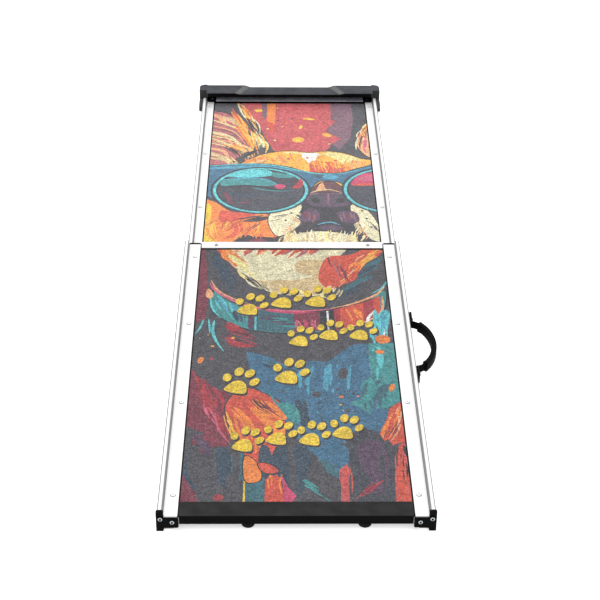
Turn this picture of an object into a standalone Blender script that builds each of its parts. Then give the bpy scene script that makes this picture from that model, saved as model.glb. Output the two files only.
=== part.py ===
"""Telescoping dog ramp: two aluminium-railed decks, the upper one sliding under the lower one.

The ramp lies flat and fully extended along +Y. Its low end is at -Y and the end that rests on a
vehicle is at +Y. Every piece is a child of one of two empties, in which x is the distance from the
ramp's centre line, y the distance from the low end and z the height over the ground.
"""

from math import cos, pi, sin

import bmesh
import bpy

MM = 0.001
FIT = 0.3 * MM  # clearance between pieces that touch

# Overall
LENGTH = 1595 * MM
HALF_WIDTH = 218 * MM  # over the cap's cheeks
HANDLE_REACH = 260 * MM  # from the centre line
SECTION_LENGTH = 835 * MM  # of a rail, in both sections
UPPER_START = 725.5 * MM

# Rails, both open inward
WALL = 2 * MM
LIP_RADIUS = 2.4 * MM
LIP_END_RADIUS = 3.2 * MM
COVE = 1.2 * MM
LOWER = {
    "outer": 215 * MM,
    "lip_in": 206.6 * MM,
    "top": 40 * MM,
    "flange_top": 29.5 * MM,
    "flange_in": 183.6 * MM,
    "flange_wall": 2 * MM,
    "bottom": 2 * MM,
    "bottom_wall": 1.6 * MM,
    "bottom_in": 190 * MM,
}
UPPER = {
    "outer": 210 * MM,
    "lip_in": 200.8 * MM,
    "top": 20.5 * MM,
    "flange_top": 12 * MM,
    "flange_in": 183.2 * MM,
    "flange_wall": 1.8 * MM,
    "bottom": 4.6 * MM,
    "bottom_wall": 1.4 * MM,
    "bottom_in": 186 * MM,
}

# Decks
LOWER_BOARD = (205.5 * MM, 8 * MM, 842.5 * MM, 21.5 * MM, 27.2 * MM)  # half width, y0, y1, z0, z1
LOWER_SHEET = (181.0 * MM, 35.3 * MM, 816 * MM, 27.5 * MM, 28.3 * MM)
UPPER_BOARD = (198 * MM, 728 * MM, 1576 * MM, 6.3 * MM, 9.9 * MM)
UPPER_SHEET = (180.4 * MM, 744 * MM, 1549.5 * MM, 10.2 * MM, 11.0 * MM)

# Rivets through flange and deck
RIVET_X = {"lower": 192.8 * MM, "upper": 192.6 * MM}
RIVET_Y = {
    "lower": [51 * MM, 297 * MM, 543 * MM, 786 * MM],
    "upper": [772 * MM, 1024.5 * MM, 1277 * MM, 1529.5 * MM],
}
RIVET_HEAD = (4.4 * MM, 1.6 * MM)
RIVET_SHANK = 2.1 * MM
RIVET_HOLE = 2.5 * MM

# Low end
BRACKET_PLATE = 3 * MM
BRACKET_SKIN = 1.4 * MM
BRACKET_FOOT = 24 * MM
BRACKET_SCREWS = ((210 * MM, 24.5 * MM), (191.8 * MM, 18.3 * MM))
SCREW_HEAD = (3.5 * MM, 2.2 * MM)
SCREW_SHANK = 1.4 * MM
SCREW_HOLE = 1.75 * MM
END_BAR_HALF = 181.6 * MM
END_STRIP = 34.8 * MM
FOOT_X = (-75 * MM, 107 * MM)
FOOT_RADIUS = 10.5 * MM
FOOT_Y = 16.5 * MM

# Crossbar at the step between the decks
CROSSBAR_Y = (822 * MM, 845.5 * MM)
CROSSBAR_HALF = 181.4 * MM
CROSSBAR_SCREW = (152 * MM, 832 * MM)

# Slide guides and stops
GUIDE_Y = (772 * MM, 842 * MM)
STOP_Y = (727 * MM, 770 * MM)
LINER_X = (210.4 * MM, 212.6 * MM)
LINER_Z = (6.5 * MM, 19 * MM)

# Handle, a strap loop on the right-hand lower rail
HANDLE_Y = 485.5 * MM
HANDLE_HALF = 70.5 * MM
HANDLE_Z = (8 * MM, 28 * MM)
STRAP = 3 * MM
GRIP = 10 * MM
GRIP_SHARE = 0.70  # of the loop's half turn that the grip covers
PLATE_Y = 34 * MM
PLATE_X = 3 * MM
LOOP_POWER = 1.9

# Far end
CAP_Z = 2.6 * MM
CAP_TOP = 38 * MM
CAP_WALL = 4 * MM
CHEEK_START = 1520 * MM
CHEEK_TOP = 18 * MM
BLOCK_IN = 199.4 * MM
END_CLIP = (178.2 * MM, 197 * MM, 1555 * MM, 1573.5 * MM, 12.3 * MM, 15 * MM)
END_CLIP_SCREW = (186.5 * MM, 1566 * MM)
END_BAR_TOP = 16.3 * MM
PAD_X = (70 * MM, 196 * MM)
PAD_Y = (1564 * MM, 1589 * MM)

ROUND = 16  # sides of a small round piece
TINY = 0.1 * MM


def material(name, colour, metallic, roughness):
    made = bpy.data.materials.new(name)
    made.use_nodes = True
    shader = made.node_tree.nodes["Principled BSDF"]
    shader.inputs["Base Color"].default_value = (*colour, 1)
    shader.inputs["Metallic"].default_value = metallic
    shader.inputs["Roughness"].default_value = roughness
    return made


def add(name, mesh, parent, finish, place=(0, 0, 0), turn=(0, 0, 0)):
    made = bpy.data.objects.new(name, mesh)
    bpy.context.scene.collection.objects.link(made)
    made.parent = parent
    made.location = place
    made.rotation_euler = turn
    if finish:
        mesh.materials.clear()
        mesh.materials.append(finish)
    return made


def mesh_of(name, corners, faces, angle=0.6):
    mesh = bpy.data.meshes.new(name)
    mesh.from_pydata(corners, [], faces)
    form = bmesh.new()
    form.from_mesh(mesh)
    bmesh.ops.recalc_face_normals(form, faces=form.faces)
    form.to_mesh(mesh)
    form.free()
    mesh.shade_smooth()
    mesh.set_sharp_from_angle(angle=angle)
    return mesh


def prism(name, outline, start, end, axis="y"):
    """An outline swept straight along an axis: (x, z) pairs along y, (y, z) along x, (x, y) along z."""
    orders = {
        "x": lambda a, b, c: (c, a, b),
        "y": lambda a, b, c: (a, c, b),
        "z": lambda a, b, c: (a, b, c),
    }
    order = orders[axis]
    count = len(outline)
    corners = [order(a, b, c) for c in (start, end) for a, b in outline]
    faces = [(i, (i + 1) % count, (i + 1) % count + count, i + count) for i in range(count)]
    faces.append(tuple(range(count)))
    faces.append(tuple(range(count, 2 * count)))
    return mesh_of(name, corners, faces)


def block(name, x, y, z):
    return prism(name, [(x[0], z[0]), (x[1], z[0]), (x[1], z[1]), (x[0], z[1])], y[0], y[1])


def turned(name, profile, sides=ROUND):
    """A solid of revolution about z. The profile is (radius, height) pairs, first and last on the axis."""
    rings = profile[1:-1]
    corners = [(0, 0, profile[0][1])]
    for radius, height in rings:
        for i in range(sides):
            angle = 2 * pi * i / sides
            corners.append((radius * cos(angle), radius * sin(angle), height))
    corners.append((0, 0, profile[-1][1]))
    last = len(corners) - 1
    faces = []
    for i in range(sides):
        j = (i + 1) % sides
        faces.append((0, 1 + j, 1 + i))
        for ring in range(len(rings) - 1):
            low = 1 + ring * sides
            high = low + sides
            faces.append((low + i, low + j, high + j, high + i))
        top = 1 + (len(rings) - 1) * sides
        faces.append((top + i, top + j, last))
    return mesh_of(name, corners, faces, 0.9)


def arc(centre, radius, start, end, steps=3):
    """Points of an arc between two angles in quarter turns."""
    angles = [(start + (end - start) * i / steps) * pi / 2 for i in range(steps + 1)]
    return [(centre[0] + radius * cos(a), centre[1] + radius * sin(a)) for a in angles]


def mirrored(outline, side):
    return [(side * a, b) for a, b in outline]


def combine(target, tool, operation):
    """Joins a piece to the target, or cuts the target by it, and keeps the piece as a hidden guide."""
    tool.hide_render = True
    tool.display_type = "WIRE"
    step = target.modifiers.new(tool.name, "BOOLEAN")
    step.operation = operation
    step.solver = "EXACT"
    step.object = tool


def holes(name, parent, places, radius, low, high, turn=(0, 0, 0)):
    """One cutter holding a plain cylinder at each place, along its own z from low to high."""
    form = bmesh.new()
    for place in places:
        made = bmesh.ops.create_cone(
            form,
            cap_ends=True,
            segments=12,
            radius1=radius,
            radius2=radius,
            depth=high - low,
        )
        bmesh.ops.translate(
            form,
            verts=made["verts"],
            vec=(place[0], place[1], (low + high) / 2),
        )
    mesh = bpy.data.meshes.new(name)
    form.to_mesh(mesh)
    form.free()
    return add(name, mesh, parent, None, turn=turn)


def rail_outline(size):
    outer, lip_in, top = size["outer"], size["lip_in"], size["top"]
    flange_top = size["flange_top"]
    flange_low = flange_top - size["flange_wall"]
    bottom_in = size["bottom_in"]
    floor = size["bottom"] + size["bottom_wall"]
    r = LIP_RADIUS
    outline = [(bottom_in, size["bottom"]), (outer - 1 * MM, size["bottom"])]
    outline += [(outer, size["bottom"] + 1 * MM)]
    outline += arc((outer - r, top - r), r, 0, 1)
    outline += arc((lip_in + r, top - r), r, 1, 2)
    outline += [(lip_in, flange_top + COVE), (lip_in - COVE, flange_top)]
    outline += [(size["flange_in"], flange_top), (size["flange_in"], flange_low)]
    outline += [(lip_in + WALL, flange_low), (lip_in + WALL, top - WALL)]
    outline += [(outer - WALL, top - WALL), (outer - WALL, floor), (bottom_in, floor)]
    return outline


def rail(name, size, side, start, parent, finish):
    outline = mirrored(rail_outline(size), side)
    return add(name, prism(name, outline, start, start + SECTION_LENGTH), parent, finish)


def rivet_mesh(name, head, depth, tail):
    """A domed rivet whose head rests at z = 0 and whose tail ends below the deck."""
    radius, height = head
    profile = [(0, -depth - tail), (1.6 * RIVET_SHANK, -depth - tail), (1.6 * RIVET_SHANK, -depth)]
    profile += [(RIVET_SHANK, -depth), (RIVET_SHANK, 0), (radius, 0)]
    for step in (0.25, 0.5, 0.75):
        angle = step * pi / 2
        profile.append((radius * cos(angle), height * sin(angle)))
    profile.append((0, height))
    return turned(name, profile)


def screw(name, parent, finish, place, turn, length):
    """A pan-head screw with a hexagon socket. Its head stands on z = 0 and its shank goes down."""
    radius, height = SCREW_HEAD
    profile = [(0, -length), (SCREW_SHANK, -length), (SCREW_SHANK, 0), (radius, 0)]
    profile += [(radius, 0.45 * height), (0.86 * radius, 0.8 * height), (0.6 * radius, height)]
    profile += [(0.42 * radius, height), (0.42 * radius, 0.4 * height), (0, 0.4 * height)]
    return add(name, turned(name, profile), parent, finish, place, turn)


def loop_point(turn, offset=0.0):
    """A point (x, y) on the handle's loop, where turn runs from -1 to 1 between its two ends."""
    angle = turn * pi / 2
    across = cos(angle) ** (2 / LOOP_POWER) if abs(turn) < 1 else 0.0
    along = abs(sin(angle)) ** (2 / LOOP_POWER) * (1 if turn > 0 else -1)
    base = LOWER["outer"] + FIT + STRAP / 2
    reach = HANDLE_REACH - GRIP / 2 - base
    here = (base + reach * across, HANDLE_Y + HANDLE_HALF * along)
    if not offset:
        return here
    before = loop_point(turn - 0.01)
    after = loop_point(turn + 0.01)
    dx, dy = after[0] - before[0], after[1] - before[1]
    size = (dx * dx + dy * dy) ** 0.5
    return (here[0] + offset * dy / size, here[1] - offset * dx / size)


def loop_strip(low, high, count, half):
    turns = [low + (high - low) * i / count for i in range(count + 1)]
    outer = [loop_point(t, half) for t in turns]
    inner = [loop_point(t, -half) for t in turns]
    return outer, inner


def strap_mesh(name):
    """The strap's plan outline: two flat ends against the rail and the loop between them."""
    edge = 0.995
    outer, inner = loop_strip(-edge, edge, 36, STRAP / 2)
    face = LOWER["outer"] + FIT
    end = HANDLE_HALF + PLATE_Y
    low = [(face, HANDLE_Y - end), (face + STRAP, HANDLE_Y - end)]
    high = [(face + STRAP, HANDLE_Y + end), (face, HANDLE_Y + end)]
    foot = HANDLE_HALF + 1.5 * MM
    low += [(face + STRAP, HANDLE_Y - foot)]
    high = [(face + STRAP, HANDLE_Y + foot)] + high
    inner_ends = [(face, HANDLE_Y + HANDLE_HALF - 2 * MM), (face, HANDLE_Y - HANDLE_HALF + 2 * MM)]
    rise = 3  # points next to the rail that the flat ends take over
    outline = low + outer[rise:-rise] + high + [inner_ends[0]] + inner[rise:-rise][::-1]
    outline += [inner_ends[1]]
    return prism(name, outline, HANDLE_Z[0] + 1 * MM, HANDLE_Z[1] - 1 * MM, "z")


def grip_mesh(name):
    """A sleeve around the strap, with a slot of the strap's section through it."""
    count = 28
    sections = ((GRIP / 2, *HANDLE_Z), (STRAP / 2 + FIT, HANDLE_Z[0] + 0.6 * MM, HANDLE_Z[1] - 0.6 * MM))
    corners = []
    for half, low, high in sections:
        outer, inner = loop_strip(-GRIP_SHARE, GRIP_SHARE, count, half)
        for a, b in zip(outer, inner, strict=True):
            corners += [(*a, low), (*a, high), (*b, high), (*b, low)]
    inside = 4 * (count + 1)
    faces = []
    for i in range(count):
        for j in range(4):
            k = (j + 1) % 4
            for base in (0, inside):
                low = base + 4 * i
                faces.append((low + j, low + k, low + 4 + k, low + 4 + j))
    for low in (0, 4 * count):
        for j in range(4):
            k = (j + 1) % 4
            faces.append((low + j, low + k, inside + low + k, inside + low + j))
    return mesh_of(name, corners, faces)


def round_lip_end(target, side, parent):
    """Rounds the two vertical edges at the far end of a lower rail's lip."""
    r = LIP_END_RADIUS
    end = SECTION_LENGTH
    corners = ((LOWER["lip_in"], 1), (LOWER["outer"], -1))
    for number, (x, inward) in enumerate(corners):
        centre = (x + inward * r, end - r)
        turn = (1, 2) if inward > 0 else (0, 1)
        curve = arc(centre, r, *turn, 4)
        past = 1 * MM
        far = [(x - inward * past, end + past)]
        near_x = [(x - inward * past, end - r)]
        near_y = [(x + inward * r, end + past)]
        outline = near_y + (curve + near_x + far if inward > 0 else curve[::-1] + near_x + far)
        tag = f"{target.name}_round_{number}"
        low = LOWER["flange_top"] + COVE
        mesh = prism(tag, mirrored(outline, side), low, LOWER["top"] + past, "z")
        combine(target, add(tag, mesh, parent, None), "DIFFERENCE")


def bracket(name, side, parent, finish):
    """A moulded corner: a plate over the rail's end, and the foot that it stands on."""
    edge = LOWER["outer"] + FIT + BRACKET_SKIN
    lip = LOWER["lip_in"] - FIT - BRACKET_SKIN
    top = LOWER["top"]
    r = LIP_RADIUS
    plate_in, plate_low, plate_top = 182.0 * MM, 6.5 * MM, 27.2 * MM
    foot_in = lip + 1.1 * MM
    outline = [(foot_in, 0), (edge, 0)]
    outline += arc((edge - r, top - r), r, 0, 1)
    outline += arc((lip + r, top - r), r, 1, 2)
    outline += [(lip, plate_top), (plate_in, plate_top), (plate_in, plate_low + 1.5 * MM)]
    outline += [(plate_in + 1.5 * MM, plate_low), (lip - 0.8 * MM, plate_low)]
    plate = add(name, prism(name, mirrored(outline, side), 0, BRACKET_PLATE), parent, finish)
    foot_top = LOWER["bottom"] - FIT
    x = sorted((side * foot_in, side * edge))
    sole = block(name + "_sole", x, (1 * MM, BRACKET_FOOT), (0, foot_top))
    combine(plate, add(name + "_sole", sole, parent, finish), "UNION")
    places = [(side * x, -z) for x, z in BRACKET_SCREWS]
    cutter = holes(
        name + "_holes", parent, places, SCREW_HOLE, -1 * MM, 5 * MM, turn=(-pi / 2, 0, 0)
    )
    combine(plate, cutter, "DIFFERENCE")
    return plate


def end_plug(name, side, parent, finish):
    """The block inside the rail's low end that the bracket's screws bite into."""
    outline = [(187, 5), (212.6, 5), (212.6, 37.4), (209, 37.4), (209, 27), (206.2, 27)]
    outline += [(206.2, 21), (187, 21)]
    outline = [(side * x * MM, z * MM) for x, z in outline]
    made = add(name, prism(name, outline, BRACKET_PLATE + FIT, 28 * MM), parent, finish)
    places = [(side * x, -z) for x, z in BRACKET_SCREWS]
    cutter = holes(
        name + "_holes", parent, places, SCREW_HOLE, 2 * MM, 30 * MM, turn=(-pi / 2, 0, 0)
    )
    combine(made, cutter, "DIFFERENCE")
    return made


def board(name, size, rivets, side_x, parent, finish, more=(), tongue=None):
    """A deck panel. A tongue (half width, y) is the narrower part that runs on past the rails."""
    half, y0, y1, z0, z1 = size
    narrow, step = tongue or (half, y1)
    outline = [(-half, y0), (half, y0), (half, step)]
    if tongue:
        outline += [(narrow, step), (narrow, y1), (-narrow, y1), (-narrow, step)]
    outline += [(-half, step)]
    made = add(name, prism(name, outline, z0, z1, "z"), parent, finish)
    places = [(side * side_x, y) for side in (-1, 1) for y in rivets]
    places += list(more)
    cutter = holes(name + "_holes", parent, places, RIVET_HOLE, z0 - 1 * MM, z1 + 1 * MM)
    combine(made, cutter, "DIFFERENCE")
    return made


def flange_holes(target, size, side_x, rivets, side, parent):
    low = size["flange_top"] - size["flange_wall"] - 1 * MM
    high = size["flange_top"] + 1 * MM
    places = [(side * side_x, y) for y in rivets]
    cutter = holes(target.name + "_holes", parent, places, RIVET_HOLE, low, high)
    combine(target, cutter, "DIFFERENCE")


def cap_section(size, front_x, back_x):
    """The cap's C-shaped section, slanting in plan: lower jaw, back wall and the lip that overhangs the recess."""
    front, back, top = size
    lip_low = CAP_TOP - 8 * MM
    jaw_top = CAP_Z + 1.7 * MM
    jaw_front = 1563 * MM
    inner_back = back - CAP_WALL
    outline = [
        (jaw_front, CAP_Z),
        (back - 3 * MM, CAP_Z),
        (back, CAP_Z + 3 * MM),
        (back, top - 5 * MM),
        (back - 1.5 * MM, top - 1.5 * MM),
        (back - 5 * MM, top),
        (front + 2 * MM, top),
        (front, top - 1.5 * MM),
        (front, lip_low),
        (inner_back, lip_low),
        (inner_back, jaw_top),
        (jaw_front, jaw_top),
    ]
    slant = (back_x - front_x) / (back - front)
    return [(front_x + (y - front) * slant, y, z) for y, z in outline]


def cap_mesh(name):
    """Sections lofted across the cap: a low middle, slanting facets and a taller part each side."""
    middle = (1545 * MM, 1591 * MM, CAP_TOP)
    outside = (1544.5 * MM, 1595 * MM, CAP_TOP + 3 * MM)
    stations = [
        (outside, 200.5 * MM, 200.5 * MM),
        (outside, 132 * MM, 107 * MM),
        (middle, 119 * MM, 93 * MM),
    ]
    loft = [cap_section(size, -front_x, -back_x) for size, front_x, back_x in stations]
    loft += [cap_section(*station) for station in reversed(stations)]
    count = len(loft[0])
    corners = [corner for section in loft for corner in section]
    faces = [tuple(range(count)), tuple(range(len(corners) - count, len(corners)))]
    for station in range(len(loft) - 1):
        low = station * count
        for i in range(count):
            j = (i + 1) % count
            faces.append((low + i, low + j, low + count + j, low + count + i))
    return mesh_of(name, corners, faces)


def cap(name, parent, finish):
    made = add(name, cap_mesh(name), parent, finish)
    r = 14 * MM
    back = LENGTH
    front = UPPER_START + SECTION_LENGTH + FIT
    top = CAP_TOP + 2.6 * MM
    for side, label in ((-1, "left"), (1, "right")):
        plan = [(BLOCK_IN, front), (HALF_WIDTH, front)]
        plan += arc((HALF_WIDTH - r, back - r), r, 0, 1, 4)
        plan += [(BLOCK_IN, back)]
        tag = f"{name}_block_{label}"
        end = add(tag, prism(tag, mirrored(plan, side), CAP_Z, top, "z"), parent, finish)
        combine(made, end, "UNION")
        tag = f"{name}_cheek_{label}"
        slope = [(CHEEK_START, CAP_Z + 3 * MM), (CHEEK_START + 3 * MM, CAP_Z)]
        slope += [(front + 6 * MM, CAP_Z), (front + 6 * MM, CHEEK_TOP)]
        slope += [(CHEEK_START + 6 * MM, CHEEK_TOP), (CHEEK_START, CHEEK_TOP - 6 * MM)]
        x_in, x_out = UPPER["outer"] + FIT, HALF_WIDTH - TINY
        mesh = prism(tag, slope, min(side * x_in, side * x_out), max(side * x_in, side * x_out), "x")
        cheek = add(tag, mesh, parent, finish)
        combine(made, cheek, "UNION")
    return made


def guide(name, side, parent, finish):
    """A liner between the two rails, with a front plate that closes the rail's end round the upper rail."""
    plate = [(183.9, 14.6), (200.2, 14.6), (200.2, 21.3), (210.4, 21.3), (210.4, 5), (212.6, 5)]
    plate += [(212.6, 27), (206.2, 27), (206.2, 29.2), (183.9, 29.2)]
    plate = [(side * x * MM, z * MM) for x, z in plate]
    face = SECTION_LENGTH + FIT
    made = add(name, prism(name, plate, face, GUIDE_Y[1]), parent, finish)
    x = sorted((side * LINER_X[0], side * LINER_X[1]))
    liner = block(name + "_liner", x, (GUIDE_Y[0], face + 1 * MM), LINER_Z)
    combine(made, add(name + "_liner", liner, parent, finish), "UNION")
    return made


def build_lower(parent, finish):
    rivet = rivet_mesh("lower_rivet", RIVET_HEAD, LOWER["flange_top"] - LOWER_BOARD[3] + 2 * FIT, 1 * MM)
    for side, label in ((-1, "left"), (1, "right")):
        made = rail(f"lower_rail_{label}", LOWER, side, 0, parent, finish["aluminium"])
        x = sorted((side * (LOWER["lip_in"] - BRACKET_SKIN - 2 * FIT), side * 220 * MM))
        notch = block(f"notch_lip_{label}", x, (-5 * MM, BRACKET_PLATE + FIT), (-5 * MM, 50 * MM))
        combine(made, add(f"notch_lip_{label}", notch, parent, None), "DIFFERENCE")
        x = sorted((side * 170 * MM, side * 208 * MM))
        notch = block(f"notch_low_{label}", x, (-5 * MM, BRACKET_PLATE + FIT), (-5 * MM, 20 * MM))
        combine(made, add(f"notch_low_{label}", notch, parent, None), "DIFFERENCE")
        flange_holes(made, LOWER, RIVET_X["lower"], RIVET_Y["lower"], side, parent)
        round_lip_end(made, side, parent)
        if side > 0:
            z = sum(HANDLE_Z) / 2
            places = [(-z, y) for y in handle_screw_y()]
            cutter = holes(
                "handle_holes",
                parent,
                places,
                SCREW_HOLE,
                LOWER["outer"] - 5 * MM,
                LOWER["outer"] + 1 * MM,
                turn=(0, pi / 2, 0),
            )
            combine(made, cutter, "DIFFERENCE")
        bracket(f"corner_bracket_{label}", side, parent, finish["plastic"])
        end_plug(f"rail_end_plug_{label}", side, parent, finish["plastic"])
        for place, (x, z) in zip(("outer", "inner"), BRACKET_SCREWS, strict=True):
            screw(
                f"bracket_screw_{label}_{place}",
                parent,
                finish["steel"],
                (side * x, -FIT, z),
                (pi / 2, 0, 0),
                22 * MM,
            )
        guide(f"rail_guide_{label}", side, parent, finish["plastic"])
        for number, y in enumerate(RIVET_Y["lower"], 1):
            place = (side * RIVET_X["lower"], y, LOWER["flange_top"] + FIT)
            add(f"lower_rivet_{label}_{number}", rivet, parent, finish["aluminium"], place)

    board(
        "lower_deck_panel",
        LOWER_BOARD,
        RIVET_Y["lower"],
        RIVET_X["lower"],
        parent,
        finish["board"],
        [(side * CROSSBAR_SCREW[0], CROSSBAR_SCREW[1]) for side in (-1, 1)],
        (LOWER["flange_in"] - FIT, SECTION_LENGTH - FIT),
    )
    half, y0, y1, z0, z1 = LOWER_SHEET
    sheet = block("lower_grip_sheet", (-half, half), (y0, y1), (z0, z1))
    add("lower_grip_sheet", sheet, parent, finish["print"])
    build_end_bar(parent, finish)
    build_crossbar(parent, finish)
    build_handle(parent, finish)


def build_end_bar(parent, finish):
    """The C-section across the low end, and its two round feet."""
    top = LOWER["flange_top"] - TINY
    under = LOWER_BOARD[4] + FIT
    front, wall = 3.5 * MM, 2.6 * MM
    floor = 11 * MM
    nose = 1 * MM
    outline = [(nose, top), (nose, under), (front, under), (front, floor), (28 * MM, floor)]
    outline += [(28 * MM, floor + 2 * MM), (front + wall, floor + 2 * MM), (front + wall, under)]
    outline += [(END_STRIP, under), (END_STRIP, top)]
    mesh = prism("lower_end_bar", outline, -END_BAR_HALF, END_BAR_HALF, "x")
    add("lower_end_bar", mesh, parent, finish["plastic"])
    height = floor - FIT
    profile = [(0, 0), (FOOT_RADIUS - 1 * MM, 0), (FOOT_RADIUS, 1 * MM), (FOOT_RADIUS, 7 * MM)]
    profile += [(FOOT_RADIUS - 1.5 * MM, height), (0, height)]
    foot = turned("round_foot", profile, 24)
    for x, label in zip(FOOT_X, ("left", "right"), strict=True):
        add(f"round_foot_{label}", foot, parent, finish["rubber"], (x, FOOT_Y, 0))


def build_crossbar(parent, finish):
    """The folded trim over the lower deck's far edge."""
    low = LOWER_BOARD[4] + FIT
    top = LOWER["flange_top"] + 0.3 * MM
    y0, y1 = CROSSBAR_Y
    leg = 2.2 * MM
    outline = [(y0, low), (y1 - leg, low), (y1 - leg, LOWER_BOARD[3]), (y1, LOWER_BOARD[3])]
    outline += [(y1, top - 1 * MM), (y1 - 1 * MM, top), (y0 + 0.8 * MM, top), (y0, top - 0.8 * MM)]
    mesh = prism("deck_crossbar", outline, -CROSSBAR_HALF, CROSSBAR_HALF, "x")
    bar = add("deck_crossbar", mesh, parent, finish["aluminium"])
    x, y = CROSSBAR_SCREW
    cutter = holes("crossbar_holes", parent, [(-x, y), (x, y)], SCREW_HOLE, low - MM, top + MM)
    combine(bar, cutter, "DIFFERENCE")
    for side, label in ((-1, "left"), (1, "right")):
        place = (side * x, y, top + FIT)
        screw(f"crossbar_screw_{label}", parent, finish["steel"], place, (0, 0, 0), 8 * MM)


def handle_screw_y():
    return [HANDLE_Y + side * (HANDLE_HALF + PLATE_Y / 2 + 1 * MM) for side in (-1, 1)]


def build_handle(parent, finish):
    """A strap loop clamped to the rail's outer face by two plates, with a sleeve for the hand."""
    z = sum(HANDLE_Z) / 2
    face = LOWER["outer"] + FIT
    places = [(-z, y) for y in handle_screw_y()]
    strap = add("handle_strap", strap_mesh("handle_strap"), parent, finish["strap"])
    cutter = holes(
        "strap_holes", parent, places, SCREW_HOLE, face - MM, face + STRAP + MM, turn=(0, pi / 2, 0)
    )
    combine(strap, cutter, "DIFFERENCE")
    add("handle_grip", grip_mesh("handle_grip"), parent, finish["rubber"])
    inner = face + STRAP + FIT
    low, high = HANDLE_Z
    chamfer = 3 * MM
    for y, label in zip(handle_screw_y(), ("near", "far"), strict=True):
        half = PLATE_Y / 2 - 1 * MM
        outline = [(y - half, low + chamfer), (y - half + chamfer, low), (y + half - chamfer, low)]
        outline += [(y + half, low + chamfer), (y + half, high - chamfer)]
        outline += [(y + half - chamfer, high), (y - half + chamfer, high), (y - half, high - chamfer)]
        name = f"handle_plate_{label}"
        plate = add(name, prism(name, outline, inner, inner + PLATE_X, "x"), parent, finish["plastic"])
        cutter = holes(
            name + "_hole",
            parent,
            [(-z, y)],
            SCREW_HOLE,
            inner - MM,
            inner + PLATE_X + MM,
            turn=(0, pi / 2, 0),
        )
        combine(plate, cutter, "DIFFERENCE")
        place = (inner + PLATE_X + FIT, y, z)
        length = inner + PLATE_X + FIT - LOWER["outer"] + WALL
        screw(f"handle_screw_{label}", parent, finish["steel"], place, (0, pi / 2, 0), length)


def build_upper(parent, finish):
    rivet = rivet_mesh(
        "upper_rivet",
        (4.2 * MM, 1.5 * MM),
        UPPER["flange_top"] - UPPER_BOARD[3] + 2 * FIT,
        0.8 * MM,
    )
    for side, label in ((-1, "left"), (1, "right")):
        made = rail(f"upper_rail_{label}", UPPER, side, UPPER_START, parent, finish["aluminium"])
        places = [(side * RIVET_X["upper"], y) for y in RIVET_Y["upper"]]
        low = UPPER["bottom"] - 1 * MM
        cutter = holes(made.name + "_holes", parent, places, RIVET_HOLE + MM, low, low + 3 * MM)
        combine(made, cutter, "DIFFERENCE")
        flange_holes(made, UPPER, RIVET_X["upper"], RIVET_Y["upper"], side, parent)
        for number, y in enumerate(RIVET_Y["upper"], 1):
            place = (side * RIVET_X["upper"], y, UPPER["flange_top"] + FIT)
            add(f"upper_rivet_{label}_{number}", rivet, parent, finish["aluminium"], place)
        x = sorted((side * (UPPER["outer"] + FIT), side * LINER_X[1]))
        stop = block(f"slide_stop_{label}", x, STOP_Y, LINER_Z)
        add(f"slide_stop_{label}", stop, parent, finish["plastic"])
        build_end_clip(side, label, parent, finish)
        x = sorted((side * PAD_X[0], side * PAD_X[1]))
        pad = block(f"cap_pad_{label}", x, PAD_Y, (0, CAP_Z - FIT))
        add(f"cap_pad_{label}", pad, parent, finish["rubber"])

    board(
        "upper_deck_panel",
        UPPER_BOARD,
        RIVET_Y["upper"],
        RIVET_X["upper"],
        parent,
        finish["board"],
        [(side * END_CLIP_SCREW[0], END_CLIP_SCREW[1]) for side in (-1, 1)],
    )
    half, y0, y1, z0, z1 = UPPER_SHEET
    sheet = block("upper_grip_sheet", (-half, half), (y0, y1), (z0, z1))
    add("upper_grip_sheet", sheet, parent, finish["print"])

    low, top = UPPER_BOARD[4] + FIT, END_BAR_TOP
    y0, y1 = 1552 * MM, UPPER_BOARD[2]
    outline = [(y0, low), (y0 + 2 * MM, low), (y0 + 2 * MM, top - 2 * MM), (y1 - 2 * MM, top - 2 * MM)]
    outline += [(y1 - 2 * MM, low), (y1, low), (y1, top - MM), (y1 - MM, top), (y0 + MM, top)]
    outline += [(y0, top - MM)]
    half = END_CLIP[0] - FIT
    mesh = prism("upper_end_bar", outline, -half, half, "x")
    add("upper_end_bar", mesh, parent, finish["plastic"])

    y0, y1 = 724 * MM, 743 * MM
    z0, top = UPPER_BOARD[3], UPPER["flange_top"]
    outline = [(y0, z0), (y0 + 2 * MM, z0), (y0 + 2 * MM, low), (y1, low), (y1, top), (y0, top)]
    half = UPPER["flange_in"] - FIT
    mesh = prism("upper_tail_bar", outline, -half, half, "x")
    add("upper_tail_bar", mesh, parent, finish["plastic"])
    cap("top_cap", parent, finish["plastic"])


def build_end_clip(side, label, parent, finish):
    """The clip that holds a rail's far end and the end bar down on the deck panel."""
    x0, x1, y0, y1, z0, z1 = END_CLIP
    name = f"end_clip_{label}"
    x = sorted((side * x0, side * x1))
    clip = add(name, block(name, x, (y0, y1), (z0, z1)), parent, finish["plastic"])
    place = (side * END_CLIP_SCREW[0], END_CLIP_SCREW[1])
    cutter = holes(name + "_hole", parent, [place], SCREW_HOLE, z0 - MM, z1 + MM)
    combine(clip, cutter, "DIFFERENCE")
    screw(f"end_clip_screw_{label}", parent, finish["steel"], (*place, z1 + FIT), (0, 0, 0), 8 * MM)


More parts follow.
